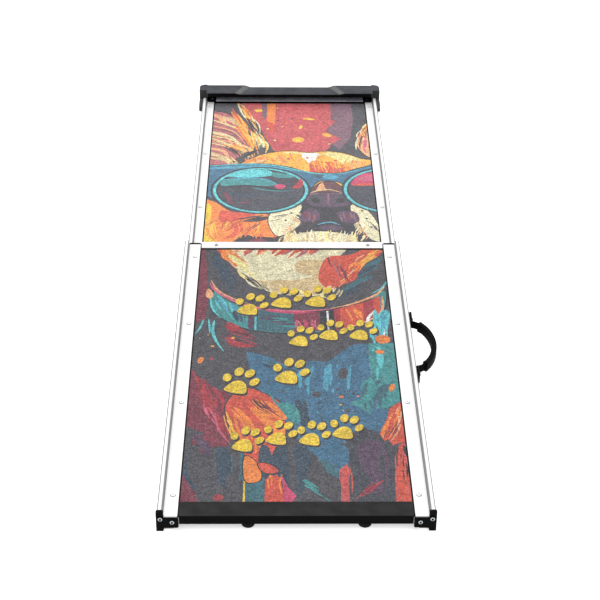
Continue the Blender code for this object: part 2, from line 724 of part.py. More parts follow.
def main():
    for old in list(bpy.data.objects):
        bpy.data.objects.remove(old, do_unlink=True)
    finish = {
        "aluminium": material("aluminium", (0.86, 0.87, 0.88), 0.9, 0.35),
        "steel": material("steel", (0.6, 0.6, 0.62), 1.0, 0.3),
        "plastic": material("plastic", (0.035, 0.035, 0.038), 0.0, 0.5),
        "rubber": material("rubber", (0.02, 0.02, 0.02), 0.0, 0.8),
        "strap": material("strap", (0.015, 0.015, 0.016), 0.0, 0.7),
        "board": material("board", (0.03, 0.03, 0.03), 0.0, 0.8),
        "print": material("print", (0.25, 0.2, 0.22), 0.0, 0.9),
    }
    centre = -(HANDLE_REACH - HALF_WIDTH) / 2
    middle = (LENGTH - FIT - SCREW_HEAD[1]) / 2
    empties = {}
    for name in ("lower_section", "upper_section"):
        empty = bpy.data.objects.new(name, None)
        bpy.context.scene.collection.objects.link(empty)
        empty.location = (centre, -middle, 0)
        empties[name] = empty
    build_lower(empties["lower_section"], finish)
    build_upper(empties["upper_section"], finish)


main()
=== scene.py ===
"""Looks of the telescoping dog ramp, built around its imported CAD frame. Metres, +Z up."""

from math import cos, pi, radians, sin, tau
from random import Random

import bmesh
import bpy
import numpy as np
from mathutils import Matrix, Vector
from mathutils.geometry import delaunay_2d_cdt


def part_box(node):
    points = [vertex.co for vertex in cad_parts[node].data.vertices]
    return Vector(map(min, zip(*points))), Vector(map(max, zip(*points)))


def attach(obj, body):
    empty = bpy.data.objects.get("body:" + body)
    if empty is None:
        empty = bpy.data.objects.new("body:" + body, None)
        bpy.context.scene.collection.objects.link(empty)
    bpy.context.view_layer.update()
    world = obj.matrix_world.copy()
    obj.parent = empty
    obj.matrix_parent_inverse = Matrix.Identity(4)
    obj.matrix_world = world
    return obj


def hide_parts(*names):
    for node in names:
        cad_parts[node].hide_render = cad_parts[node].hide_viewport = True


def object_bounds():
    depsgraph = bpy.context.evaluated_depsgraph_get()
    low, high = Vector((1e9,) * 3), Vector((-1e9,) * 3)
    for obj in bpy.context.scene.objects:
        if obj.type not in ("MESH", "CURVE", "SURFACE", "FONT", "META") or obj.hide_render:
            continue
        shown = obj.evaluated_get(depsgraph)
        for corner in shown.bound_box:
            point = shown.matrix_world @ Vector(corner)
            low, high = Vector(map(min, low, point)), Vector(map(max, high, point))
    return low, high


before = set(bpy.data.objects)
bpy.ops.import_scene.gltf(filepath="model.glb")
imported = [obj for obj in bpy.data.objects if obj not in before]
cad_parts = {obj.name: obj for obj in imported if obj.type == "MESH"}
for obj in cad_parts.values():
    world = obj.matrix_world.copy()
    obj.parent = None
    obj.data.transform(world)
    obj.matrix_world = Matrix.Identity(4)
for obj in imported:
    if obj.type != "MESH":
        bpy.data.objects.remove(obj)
cad_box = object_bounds()

MM = 0.001
LOWER, UPPER = "lower_section", "upper_section"
PAINT = "painted"  # the colour layer of the printed sheets
WEAVE = "weave"  # the texture map of swept pieces


def middle(node):
    low, high = (Vector(corner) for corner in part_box(node))
    return (low + high) / 2


CENTRE_X = (middle("lower_rail_left").x + middle("lower_rail_right").x) / 2
NEAR_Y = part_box("lower_rail_left")[0][1]
GROUND_Z = cad_box[0][2]

# The handle's loop
STRAP_THICK = 3 * MM
GRIP_THICK = 10 * MM
GRIP_SPAN = 0.70  # of the way from the loop's tip to its ends
LOOP_POWER = 1.9  # 2 is an ellipse
RIB = 6 * MM


# Colours and materials


def linear(red, green, blue):
    """A shader colour from an 8-bit display one."""
    parts = [c / 255 for c in (red, green, blue)]
    return tuple(c / 12.92 if c < 0.04 else ((c + 0.055) / 1.055) ** 2.4 for c in parts) + (1.0,)


INK = {
    "slate": (86, 86, 93),
    "ink": (62, 60, 68),
    "night": (68, 84, 100),
    "dusk": (78, 80, 90),
    "plum": (98, 78, 100),
    "violet": (136, 104, 118),
    "red": (208, 96, 100),
    "brick": (196, 88, 94),
    "wine": (176, 68, 76),
    "maroon": (134, 66, 82),
    "coral": (218, 94, 78),
    "orange": (244, 142, 76),
    "amber": (250, 186, 84),
    "yellow": (240, 206, 70),
    "straw": (242, 228, 154),
    "cream": (236, 228, 190),
    "white": (240, 244, 244),
    "sand": (218, 192, 146),
    "peach": (242, 180, 134),
    "rose": (214, 110, 136),
    "magenta": (208, 80, 116),
    "mauve": (186, 112, 116),
    "brown": (112, 76, 82),
    "cyan": (104, 204, 210),
    "sky": (90, 166, 192),
    "teal": (78, 152, 154),
    "sea": (70, 112, 124),
    "blue": (74, 118, 148),
}


SOCKETS = {
    "metallic": "Metallic",
    "roughness": "Roughness",
    "specular": "Specular IOR Level",
    "sheen": "Sheen Weight",
    "glow": "Emission Strength",
}


class Finish:
    """A procedural material: a Principled shader and short ways to feed it, with patterns in metres."""

    def __init__(self, name, **values):
        self.material = bpy.data.materials.new(name)
        self.material.use_nodes = True
        self.tree = self.material.node_tree
        self.shader = self.tree.nodes["Principled BSDF"]
        for socket, value in values.items():
            self.shader.inputs[SOCKETS[socket]].default_value = value
        coordinates = self.node("ShaderNodeTexCoord").outputs
        self.place = coordinates["Object"]
        self.facing = coordinates["Normal"]

    def node(self, kind, inputs=None, **settings):
        made = self.tree.nodes.new(kind)
        for key, value in settings.items():
            setattr(made, key, value)
        for key, value in (inputs or {}).items():
            if isinstance(value, bpy.types.NodeSocket):
                self.tree.links.new(value, made.inputs[key])
            else:
                made.inputs[key].default_value = value
        return made

    def noise(self, size, stretch=(1, 1, 1), detail=2.0):
        """Noise with blotches of about that size, stretched along each axis."""
        scale = [1 / (size * s) for s in stretch]
        placed = self.node("ShaderNodeMapping", {"Vector": self.place, "Scale": scale})
        texture = {"Vector": placed.outputs[0], "Scale": 1.0, "Detail": detail}
        return self.node("ShaderNodeTexNoise", texture).outputs[0]

    def grains(self, size):
        """Distance from the middle of the nearest grain, 0 to about 1."""
        texture = {"Vector": self.place, "Scale": 1 / size}
        return self.node("ShaderNodeTexVoronoi", texture).outputs["Distance"]

    def chance(self, size):
        """A number from 0 to 1 for each grain of about that size."""
        texture = {"Vector": self.place, "Scale": 1 / size}
        return self.part("X", self.node("ShaderNodeTexVoronoi", texture).outputs["Color"])

    def spread(self, value, low, high, start=0.35, end=0.65):
        """The values from start to end, stretched to run from low to high."""
        inputs = {0: value, 1: start, 2: end, 3: low, 4: high}
        return self.node("ShaderNodeMapRange", inputs).outputs[0]

    def mix(self, factor, first, second):
        """The first colour, turning into the second as factor goes from 0 to 1."""
        inputs = {0: factor, 6: first, 7: second}
        return self.node("ShaderNodeMix", inputs, data_type="RGBA").outputs[2]

    def part(self, axis, vector):
        """One axis of a vector."""
        return self.node("ShaderNodeSeparateXYZ", {0: vector}).outputs[axis]

    def level(self, start=0.25, end=0.8):
        """1 on faces that look up or down, 0 on upright ones."""
        steepness = self.math("ABSOLUTE", self.part("Z", self.facing))
        return self.spread(steepness, 0, 1, start, end)

    def tilted(self):
        """1 on faces that lean a little to one side, 0 on level ones."""
        lean = self.math("ABSOLUTE", self.part("X", self.facing))
        return self.spread(lean, 0, 1, 0.08, 0.2)

    def across(self):
        """Distance to the right of the ramp's centre line."""
        return self.math("SUBTRACT", self.part("X", self.place), CENTRE_X)

    def outward(self):
        """1 on faces that look away from the ramp's centre line, 0 on the rest."""
        away = self.math("MULTIPLY", self.part("X", self.facing), self.across())
        return self.math("GREATER_THAN", away)

    def far_out(self, reach):
        """1 where the ramp is wider than reach to either side of its centre line."""
        return self.math("GREATER_THAN", self.math("ABSOLUTE", self.across()), reach)

    def corner_shade(self, reach, low, start=0.3, end=0.75):
        """Painted shade: low in tight corners, 1 where nothing stands within reach."""
        inputs = {"Distance": reach}
        open_share = self.node("ShaderNodeAmbientOcclusion", inputs, samples=8).outputs["AO"]
        return self.spread(open_share, low, 1, start, end)

    def scaled(self, tone, factor):
        """A colour made brighter or darker."""
        inputs = {0: tone, "Scale": factor}
        return self.node("ShaderNodeVectorMath", inputs, operation="SCALE").outputs[0]

    def math(self, operation, first, second=0.0):
        return self.node("ShaderNodeMath", {0: first, 1: second}, operation=operation).outputs[0]

    def feed(self, socket, value):
        self.tree.links.new(value, self.shader.inputs[socket])

    def bump(self, height, depth, strength):
        inputs = {"Height": height, "Distance": depth, "Strength": strength}
        return self.node("ShaderNodeBump", inputs).outputs[0]


def grey(level):
    return (level, level, level, 1.0)


def cool(level):
    """A grey with some blue in it."""
    return (level * 0.94, level * 0.97, level * 1.1, 1.0)


def drawn_metal(name, along, bright, roughness, flat=(0.25, 0.8), outer_wall_shade=0.2):
    """Anodised aluminium: faint die lines along one axis, and painted shade that darkens the walls, darkens
    the rounded edges more, and darkens the corners.

    flat says how level a face is where it begins and ends turning from upright to level, and the last
    argument how bright, under their painted shade, the walls are that face away from the ramp.
    """
    # How bright the walls and rounded edges stay under their painted shade, facing the centre line and
    # facing away
    inner_wall_shade, inner_round_shade, outer_round_shade = 0.3, 0.2, 0.04
    finish = Finish(name, metallic=0.3, roughness=roughness)
    stretch = [1, 1, 1]
    stretch[along] = 500
    lines = finish.noise(0.35 * MM, stretch, 3.0)
    cloud = finish.noise(45 * MM)
    tone = finish.mix(finish.spread(lines, 0, 1), grey(bright * 0.94), grey(bright))
    tone = finish.mix(finish.spread(cloud, 0, 0.35), tone, grey(bright * 0.97))
    # Painted shade: walls and rounded edges get darker copies of the tone than level faces
    away = finish.outward()
    wall_shade = finish.mix(away, finish.scaled(tone, inner_wall_shade), finish.scaled(tone, outer_wall_shade))
    round_shade = finish.mix(away, finish.scaled(tone, inner_round_shade), finish.scaled(tone, outer_round_shade))
    upright = finish.mix(finish.level(0.1, 0.35), wall_shade, round_shade)
    tone = finish.mix(finish.level(*flat), upright, tone)
    # Painted shade in corners, darkest where other surfaces stand close
    finish.feed("Base Color", finish.scaled(tone, finish.corner_shade(3.5 * MM, 0.5)))
    finish.feed("Roughness", finish.spread(lines, roughness - 0.06, roughness + 0.08))
    finish.feed("Normal", finish.bump(lines, 0.02 * MM, 0.35))
    return finish.material


def plated_steel():
    """Zinc-plated steel in cool patches, with painted shade that makes the screws' sockets nearly black."""
    finish = Finish("zinc_plated_steel", metallic=1.0, roughness=0.3)
    patches = finish.noise(0.8 * MM, detail=4.0)
    tone = finish.mix(finish.spread(patches, 0, 1), (0.36, 0.42, 0.45, 1), (0.56, 0.6, 0.62, 1))
    # Painted shade: the sockets and other tight corners are darkened nearly to black
    finish.feed("Base Color", finish.scaled(tone, finish.corner_shade(5 * MM, 0.01, 0.78, 0.97)))
    finish.feed("Roughness", finish.spread(patches, 0.24, 0.42))
    finish.feed("Normal", finish.bump(patches, 0.03 * MM, 0.4))
    return finish.material


def moulded_plastic(name, side, top, roughness, grain, tint=grey, facet_highlight=None):
    """Black plastic with a spark-eroded grain, and a painted sheen, as bright as top, in soft patches on
    faces that look up.

    Given a last argument, a piece gets a painted highlight that bright on tilted facets, and painted light
    that makes the walls of its end blocks greyer.
    """
    end_blocks = 197 * MM
    finish = Finish(name, roughness=roughness, specular=0.035)
    texture = finish.grains(grain)
    # Painted sheen: faces that look up are lighter than upright ones, in soft patches
    sheen_noise = finish.noise(25 * MM, detail=4.0)
    top_sheen = finish.mix(finish.spread(sheen_noise, 0, 1), tint(top * 0.8), tint(top * 1.2))
    upright = grey(side)
    # Painted highlight on facets that lean to one side, and painted light on the upright walls of the end
    # blocks
    if facet_highlight:
        top_sheen = finish.mix(finish.tilted(), top_sheen, grey(facet_highlight))
        upright = finish.mix(finish.far_out(end_blocks), grey(side), grey(side * 12))
    finish.feed("Base Color", finish.mix(finish.level(), upright, top_sheen))
    finish.feed("Roughness", finish.spread(sheen_noise, roughness - 0.05, roughness + 0.06))
    finish.feed("Normal", finish.bump(texture, 0.08 * MM, 0.35))
    return finish.material


def rubber():
    """Dull black rubber with a fine grain."""
    finish = Finish("rubber", roughness=0.8, specular=0.1)
    grain = finish.noise(0.6 * MM, detail=4.0)
    finish.feed("Base Color", finish.mix(finish.spread(grain, 0, 1), grey(0.004), grey(0.01)))
    finish.feed("Normal", finish.bump(grain, 0.15 * MM, 0.5))
    return finish.material


def film_faced_board():
    """The panels: black phenolic film with faint fibres along them."""
    finish = Finish("film_faced_board", roughness=0.5, specular=0.15)
    fibres = finish.noise(1.2 * MM, (1, 14, 1), 4.0)
    finish.feed("Base Color", finish.mix(finish.spread(fibres, 0, 1), grey(0.004), grey(0.012)))
    finish.feed("Normal", finish.bump(fibres, 0.1 * MM, 0.4))
    return finish.material


def printed_grit(name, sheen_haze, strength):
    """The art's colours, at that strength, seen through a clear coat of coarse grit, and mixed towards grey
    by the second argument as painted sheen.
    """
    finish = Finish(name, roughness=0.62, specular=0.25)
    painted = finish.node("ShaderNodeAttribute", attribute_name=PAINT).outputs["Color"]
    grit = finish.chance(1.9 * MM)
    sand = finish.grains(1.4 * MM)
    streaks = finish.noise(1.6 * MM, (1, 26, 1), 3.0)
    washes = finish.noise(30 * MM, detail=6.0)
    sparkle = finish.spread(finish.chance(1.5 * MM), 0, 0.16, 0.7, 1)
    shade = strength
    for patchiness in (
        finish.spread(grit, 0.62, 1.42, 0, 1),
        finish.spread(finish.chance(5 * MM), 0.82, 1.2, 0, 1),
        finish.spread(streaks, 0.93, 1.07),
        finish.spread(washes, 0.92, 1.08),
    ):
        shade = finish.math("MULTIPLY", patchiness, shade)
    # Painted sheen: the print is mixed towards grey
    tone = finish.mix(sheen_haze, finish.scaled(painted, shade), grey(0.4))
    finish.feed("Base Color", finish.mix(sparkle, tone, grey(0.55)))
    finish.feed("Roughness", finish.spread(grit, 0.5, 0.75, 0, 1))
    finish.feed("Normal", finish.bump(sand, 0.35 * MM, 0.6))
    return finish.material


def webbing():
    """Woven nylon: ribs across the strap, laid out by its own length and width."""
    finish = Finish("webbing", roughness=0.75, specular=0.04, sheen=0.01)
    finish.place = finish.node("ShaderNodeUVMap", uv_map=WEAVE).outputs[0]
    rib = {"Vector": finish.place, "Scale": 1 / (1.6 * MM) / tau, "Distortion": 0.6}
    across = finish.node("ShaderNodeTexWave", rib, bands_direction="X").outputs["Fac"]
    along = finish.node("ShaderNodeTexWave", rib, bands_direction="Y").outputs["Fac"]
    weave = finish.math("MULTIPLY", across, along)
    finish.feed("Base Color", finish.mix(weave, grey(0.001), grey(0.006)))
    finish.feed("Normal", finish.bump(weave, 0.4 * MM, 0.6))
    return finish.material


# Meshes


def piece(name, bm, material, body, sharp=35):
    """A finished mesh that rides on a body, with that material."""
    mesh = bpy.data.meshes.new(name)
    bmesh.ops.recalc_face_normals(bm, faces=bm.faces)
    bm.to_mesh(mesh)
    bm.free()
    mesh.materials.append(material)
    mesh.shade_smooth()
    mesh.set_sharp_from_angle(angle=radians(sharp))
    made = bpy.data.objects.new(name, mesh)
    bpy.context.scene.collection.objects.link(made)
    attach(made, body)
    return made


def skin(bm, rings):
    """Quads between closed rings of corners, and a face on the first and the last ring."""
    for first, second in zip(rings, rings[1:], strict=False):
        for i in range(len(first)):
            j = (i + 1) % len(first)
            bm.faces.new((first[i], first[j], second[j], second[i]))
    bm.faces.new(rings[0])
    bm.faces.new(rings[-1])


def turned(profile, sides):
    """A solid around z.

    The profile's points are radius, height and, where the outline has flats, their number.
    """
    bm = bmesh.new()
    rings = []
    for radius, height, *flats in profile:
        ring = []
        for i in range(sides):
            turn = tau * i / sides
            reach = radius
            if flats:
                half = pi / flats[0]
                reach = radius / cos(turn % (2 * half) - half)
            ring.append(bm.verts.new((reach * cos(turn), reach * sin(turn), height)))
        rings.append(ring)
    skin(bm, rings)
    return bm


def swept(path, section, taper=None):
    """A solid that carries section (sideways, up) along a level path, scaled by taper(along, length)."""
    bm = bmesh.new()
    weave = bm.loops.layers.uv.new(WEAVE)
    rings = []
    along = [0.0]
    for here, there in zip(path, path[1:], strict=False):
        along.append(along[-1] + (there - here).length)
    for i, here in enumerate(path):
        heading = (path[min(i + 1, len(path) - 1)] - path[max(i - 1, 0)]).normalized()
        side = Vector((heading.y, -heading.x, 0))
        swell = taper(along[i], along[-1]) if taper else 1.0
        ring = [bm.verts.new(here + side * a * swell + Vector((0, 0, b * swell))) for a, b in section]
        rings.append(ring)
    skin(bm, rings)
    bm.verts.index_update()
    count = len(section)
    for face in bm.faces:
        for loop in face.loops:
            number, place = divmod(loop.vert.index, count)
            loop[weave].uv = (along[number], section[place][1] + section[place][0])
    return bm


def rounded_section(wide, tall, radius):
    """A rounded rectangle about the origin."""
    steps = 4
    points = []
    for quarter, (sx, sy) in enumerate(((1, 1), (-1, 1), (-1, -1), (1, -1))):
        for i in range(steps + 1):
            turn = pi / 2 * (quarter + i / steps)
            x = sx * (wide / 2 - radius) + radius * cos(turn)
            points.append((x, sy * (tall / 2 - radius) + radius * sin(turn)))
    return points


# The printed design: flat shapes laid over one another


def between(a, b, c, d, steps):
    """Points from b up to c on a smooth curve through all four."""
    first, second, third = c - a, 2 * a - 5 * b + 4 * c - d, 3 * b - 3 * c + d - a
    shares = [step / steps for step in range(steps)]
    return [0.5 * (2 * b + first * t + second * t**2 + third * t**3) for t in shares]


def smooth_loop(points):
    """A closed curve through the points."""
    count = len(points)
    curve = []
    for i in range(count):
        corners = (np.array(points[(i + k) % count], float) for k in (-1, 0, 1, 2))
        curve += between(*corners, 6)
    return curve


def grown(loop, width):
    """The loop pushed outwards by width."""
    ahead, behind = np.roll(loop, -1, axis=0), np.roll(loop, 1, axis=0)
    heading = ahead - behind
    heading /= np.linalg.norm(heading, axis=1)[:, None]
    area = (loop[:, 0] * ahead[:, 1] - ahead[:, 0] * loop[:, 1]).sum()
    outward = np.stack((heading[:, 1], -heading[:, 0]), axis=1) * (1 if area > 0 else -1)
    return loop + outward * width


class Canvas:
    """A rectangle to paint on, in millimetres from the ramp's centre line and low end."""

    def __init__(self, low, high, ground, seed):
        self.low, self.high = low, high
        self.random = Random(seed)
        self.shapes = []
        corners = (low, (high[0], low[1]), high, (low[0], high[1]))
        self.patch(ground, *corners)

    def patch(self, ink, *points):
        """Straight edges between the points."""
        self.shapes.append((INK[ink], np.array(points, float)))

    def blob(self, ink, *points, edge=0):
        """A soft edge through the points, with a dark line round it if edge is given."""
        loop = np.array(smooth_loop(points))
        if edge:
            self.patch("ink", *grown(loop, edge))
        self.patch(ink, *loop)

    def disc(self, ink, x, y, wide, tall=None, lean=0):
        """An ellipse with those half widths, turned by lean degrees."""
        tall = tall or wide
        turn = radians(lean)
        count = 12 if wide < 6 else 32
        points = []
        for i in range(count):
            a, b = wide * cos(tau * i / count), tall * sin(tau * i / count)
            points.append((x + a * cos(turn) - b * sin(turn), y + a * sin(turn) + b * cos(turn)))
        self.patch(ink, *points)

    def stroke(self, ink, width, *points):
        """A brush stroke along the points, widest near the middle and pointed at its ends."""
        line = [Vector(p) for p in points]
        line = [line[0], *line, line[-1]]
        path = []
        for i in range(len(points) - 1):
            path += between(*line[i : i + 4], 5)
        path.append(line[-1])
        one, other = [], []
        for i, here in enumerate(path):
            t = i / (len(path) - 1)
            heading = (path[min(i + 1, len(path) - 1)] - path[max(i - 1, 0)]).normalized()
            half = width / 2 * sin(pi * min(max(t, 0.02), 0.98) ** 0.75) ** 0.7
            side = Vector((heading.y, -heading.x)) * max(half, 0.15)
            one.append(tuple(here + side))
            other.append(tuple(here - side))
        self.patch(ink, *one, *reversed(other))

    def any_of(self, inks):
        """One of the inks named in a row of words."""
        names = inks.split()
        return names[self.random.randrange(len(names))]

    def strokes(self, inks, start, end, lean, count, width, bend=0.0):
        """Brush strokes from the line between start and end, all leaning and bending much alike."""
        for _ in range(count):
            share = self.random.random()
            x = start[0] + (end[0] - start[0]) * share + self.random.uniform(-6, 6)
            y = start[1] + (end[1] - start[1]) * share + self.random.uniform(-6, 6)
            length = self.random.uniform(0.55, 1.15)
            bow = bend + self.random.uniform(-0.1, 0.1)
            dx, dy = lean[0] * length, lean[1] * length
            half_way = (x + dx / 2 - dy * bow, y + dy / 2 + dx * bow)
            ink = self.any_of(inks)
            thick = width * self.random.uniform(0.5, 1.3)
            self.stroke(ink, thick, (x, y), half_way, (x + dx, y + dy))

    def splashes(self, inks, low, high, count, size):
        """Drops of paint, most of them small."""
        for _ in range(count):
            x = self.random.uniform(low[0], high[0])
            y = self.random.uniform(low[1], high[1])
            wide = size * self.random.uniform(0.25, 1) ** 2
            ink = self.any_of(inks)
            tall = wide * self.random.uniform(0.7, 1.3)
            self.disc(ink, x, y, wide, tall, self.random.uniform(0, 90))

    def paw(self, x, y, size, lean):
        """A paw print with a dark offset shadow, drawn tall because it is seen from a low angle."""
        turn = radians(lean)
        toes = ((-0.43, 0.12, 0.13), (-0.17, 0.42, 0.14), (0.17, 0.42, 0.14), (0.43, 0.12, 0.13))
        top = ((-0.22, -0.04), (0, 0.08), (0.22, -0.04))
        pad = ((-0.34, -0.34), *top, (0.34, -0.34), (0.14, -0.42), (-0.14, -0.42))
        for ink, shift in (("ink", 0.07), ("yellow", 0.0)):

            def put(a, b, shift=shift):
                a, b = (a + shift) * size, (b - shift) * size * 1.3
                return (x + a * cos(turn) - b * sin(turn), y + a * sin(turn) + b * cos(turn))

            self.blob(ink, *(put(*p) for p in pad))
            for a, b, radius in toes:
                self.disc(ink, *put(a, b), radius * size, radius * size * 1.6, lean - 30 * a)


def paint_upper():
    """An animal's face between its ears, on red."""
    low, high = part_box("upper_grip_sheet")
    art = Canvas(*sheet_corners(low, high), "slate", 11)
    paint_backdrop(art)
    paint_ears(art)
    paint_forehead(art)
    paint_muzzle(art)
    paint_eyes(art)
    return art


def paint_backdrop(art):
    """A red field with drips and drops, fading into violet on the right."""
    edge = (
        (96, 1640), (98, 1500), (97, 1460), (108, 1450), (94, 1424), (86, 1404), (88, 1388), (118, 1356),
    )
    art.blob(
        "red", *edge, (96, 1330), (84, 1300), (40, 1260), (-34, 1290), (-46, 1340), (-66, 1400),
        (-92, 1480), (-118, 1560), (-130, 1640),
    )
    art.patch(
        "violet", (98, 1640), *edge[1:], (96, 1330), (112, 1300), (140, 1360), (150, 1460), (146, 1640),
    )
    art.blob(
        "brick", (-34, 1300), (-60, 1370), (-66, 1420), (-58, 1440), (-50, 1400), (-30, 1350), (0, 1320),
    )
    art.patch("violet", (-68, 1640), (-66, 1480), (-60, 1460), (-54, 1480), (-54, 1640))
    art.patch("orange", (-54, 1640), (-54, 1450), (-48, 1440), (-36, 1436), (-34, 1500), (-33, 1640))
    art.patch("coral", (-54, 1450), (-52, 1400), (-44, 1392), (-36, 1400), (-36, 1436))
    for x, y, wide, tall in ((-75, 1510, 10, 9), (18, 1351, 14, 14), (45, 1463, 15, 6), (25, 1418, 4, 11)):
        art.disc("amber", x, y, wide, tall, -10)
        art.disc("yellow", x, y - 1, wide * 0.6, tall * 0.5, -10)
    art.disc("amber", 86, 1376, 13, 8, -35)
    art.splashes("amber orange straw", (-90, 1330), (90, 1530), 16, 4)
    art.splashes("brick maroon", (-40, 1300), (90, 1540), 30, 4)


def paint_ears(art):
    """The left ear fills its corner, and only the edge of the right one shows."""
    art.blob(
        "mauve", (-220, 1210), (-220, 1502), (-176, 1502), (-146, 1488), (-124, 1450), (-104, 1400),
        (-86, 1350), (-86, 1310), (-104, 1270), (-140, 1216), edge=3,
    )
    art.strokes("peach sand rose", (-190, 1490), (-150, 1470), (44, -70), 9, 12, 0.1)
    art.strokes("slate brown", (-190, 1430), (-186, 1340), (100, -90), 6, 4, 0.16)
    art.strokes("mauve peach sand", (-200, 1400), (-190, 1250), (90, -96), 14, 9, 0.16)
    art.strokes("cream straw peach", (-196, 1470), (-190, 1330), (108, -116), 12, 5, 0.17)
    art.strokes("amber orange", (-130, 1440), (-112, 1390), (32, -110), 10, 7, 0.08)
    art.strokes("orange coral amber", (-140, 1534), (-118, 1440), (32, -110), 11, 5, 0.04)
    art.strokes("orange amber cream", (-124, 1560), (-92, 1440), (36, -116), 12, 4.5, 0.04)
    art.strokes("cream straw amber", (-90, 1400), (-66, 1356), (10, -72), 18, 5, 0.05)
    art.strokes("ink slate", (-112, 1480), (-70, 1370), (26, -80), 8, 3.5)
    art.strokes("amber orange cream", (-160, 1330), (-116, 1320), (46, -66), 16, 6, 0.15)
    art.strokes("brown ink", (-166, 1320), (-126, 1300), (40, -64), 12, 2.5, 0.15)
    art.strokes("ink slate", (-112, 1262), (-70, 1300), (-30, -40), 12, 9)
    art.strokes("cream amber", (-152, 1260), (-130, 1256), (18, -36), 6, 3)
    art.blob(
        "peach", (162, 1290), (152, 1330), (160, 1370), (170, 1400), (184, 1440), (220, 1440), (220, 1230),
        (180, 1262), edge=3,
    )
    art.strokes("mauve rose", (176, 1400), (176, 1320), (-2, -56), 10, 6)
    art.strokes("cream orange straw", (180, 1440), (158, 1350), (-8, -66), 14, 4.5, -0.08)
    art.strokes("brown ink", (184, 1430), (160, 1340), (-6, -56), 8, 2.2, -0.08)


def paint_forehead(art):
    """An amber dome with pale lights and a white star."""
    art.blob(
        "amber", (-142, 1190), (-114, 1226), (-88, 1254), (-60, 1276), (-24, 1290), (8, 1292), (42, 1284),
        (84, 1291), (124, 1280), (160, 1254), (220, 1226), (220, 1100), (-142, 1100), edge=3,
    )
    art.blob("orange", (-128, 1200), (-100, 1240), (-70, 1262), (-50, 1258), (-60, 1232), (-90, 1214))
    art.blob("straw", (-94, 1232), (-70, 1246), (-56, 1248), (-66, 1238), (-84, 1230))
    art.blob("straw", (-20, 1284), (8, 1289), (24, 1282), (4, 1278))
    art.blob(
        "straw", (72, 1280), (100, 1286), (134, 1270), (160, 1248), (140, 1242), (118, 1228), (104, 1250),
    )
    art.strokes("orange peach", (-100, 1250), (0, 1280), (14, -50), 22, 3)
    art.strokes("orange peach", (110, 1250), (176, 1240), (-10, -44), 16, 3)
    art.patch(
        "coral", (42, 1180), (42, 1226), (46, 1244), (60, 1240), (92, 1238), (110, 1226), (134, 1200),
        (146, 1180),
    )
    art.strokes("orange amber", (46, 1248), (128, 1222), (6, -50), 34, 5)
    art.strokes("coral red", (46, 1226), (120, 1206), (4, -40), 18, 4)
    art.patch(
        "white", (20, 1283), (42, 1282), (58, 1284), (70, 1276), (60, 1268), (56, 1246), (48, 1244),
        (42, 1230), (34, 1248), (26, 1262), (28, 1272),
    )
    for x, y in ((-4, 1253), (38, 1258), (101, 1244)):
        art.disc("coral", x, y, 4)


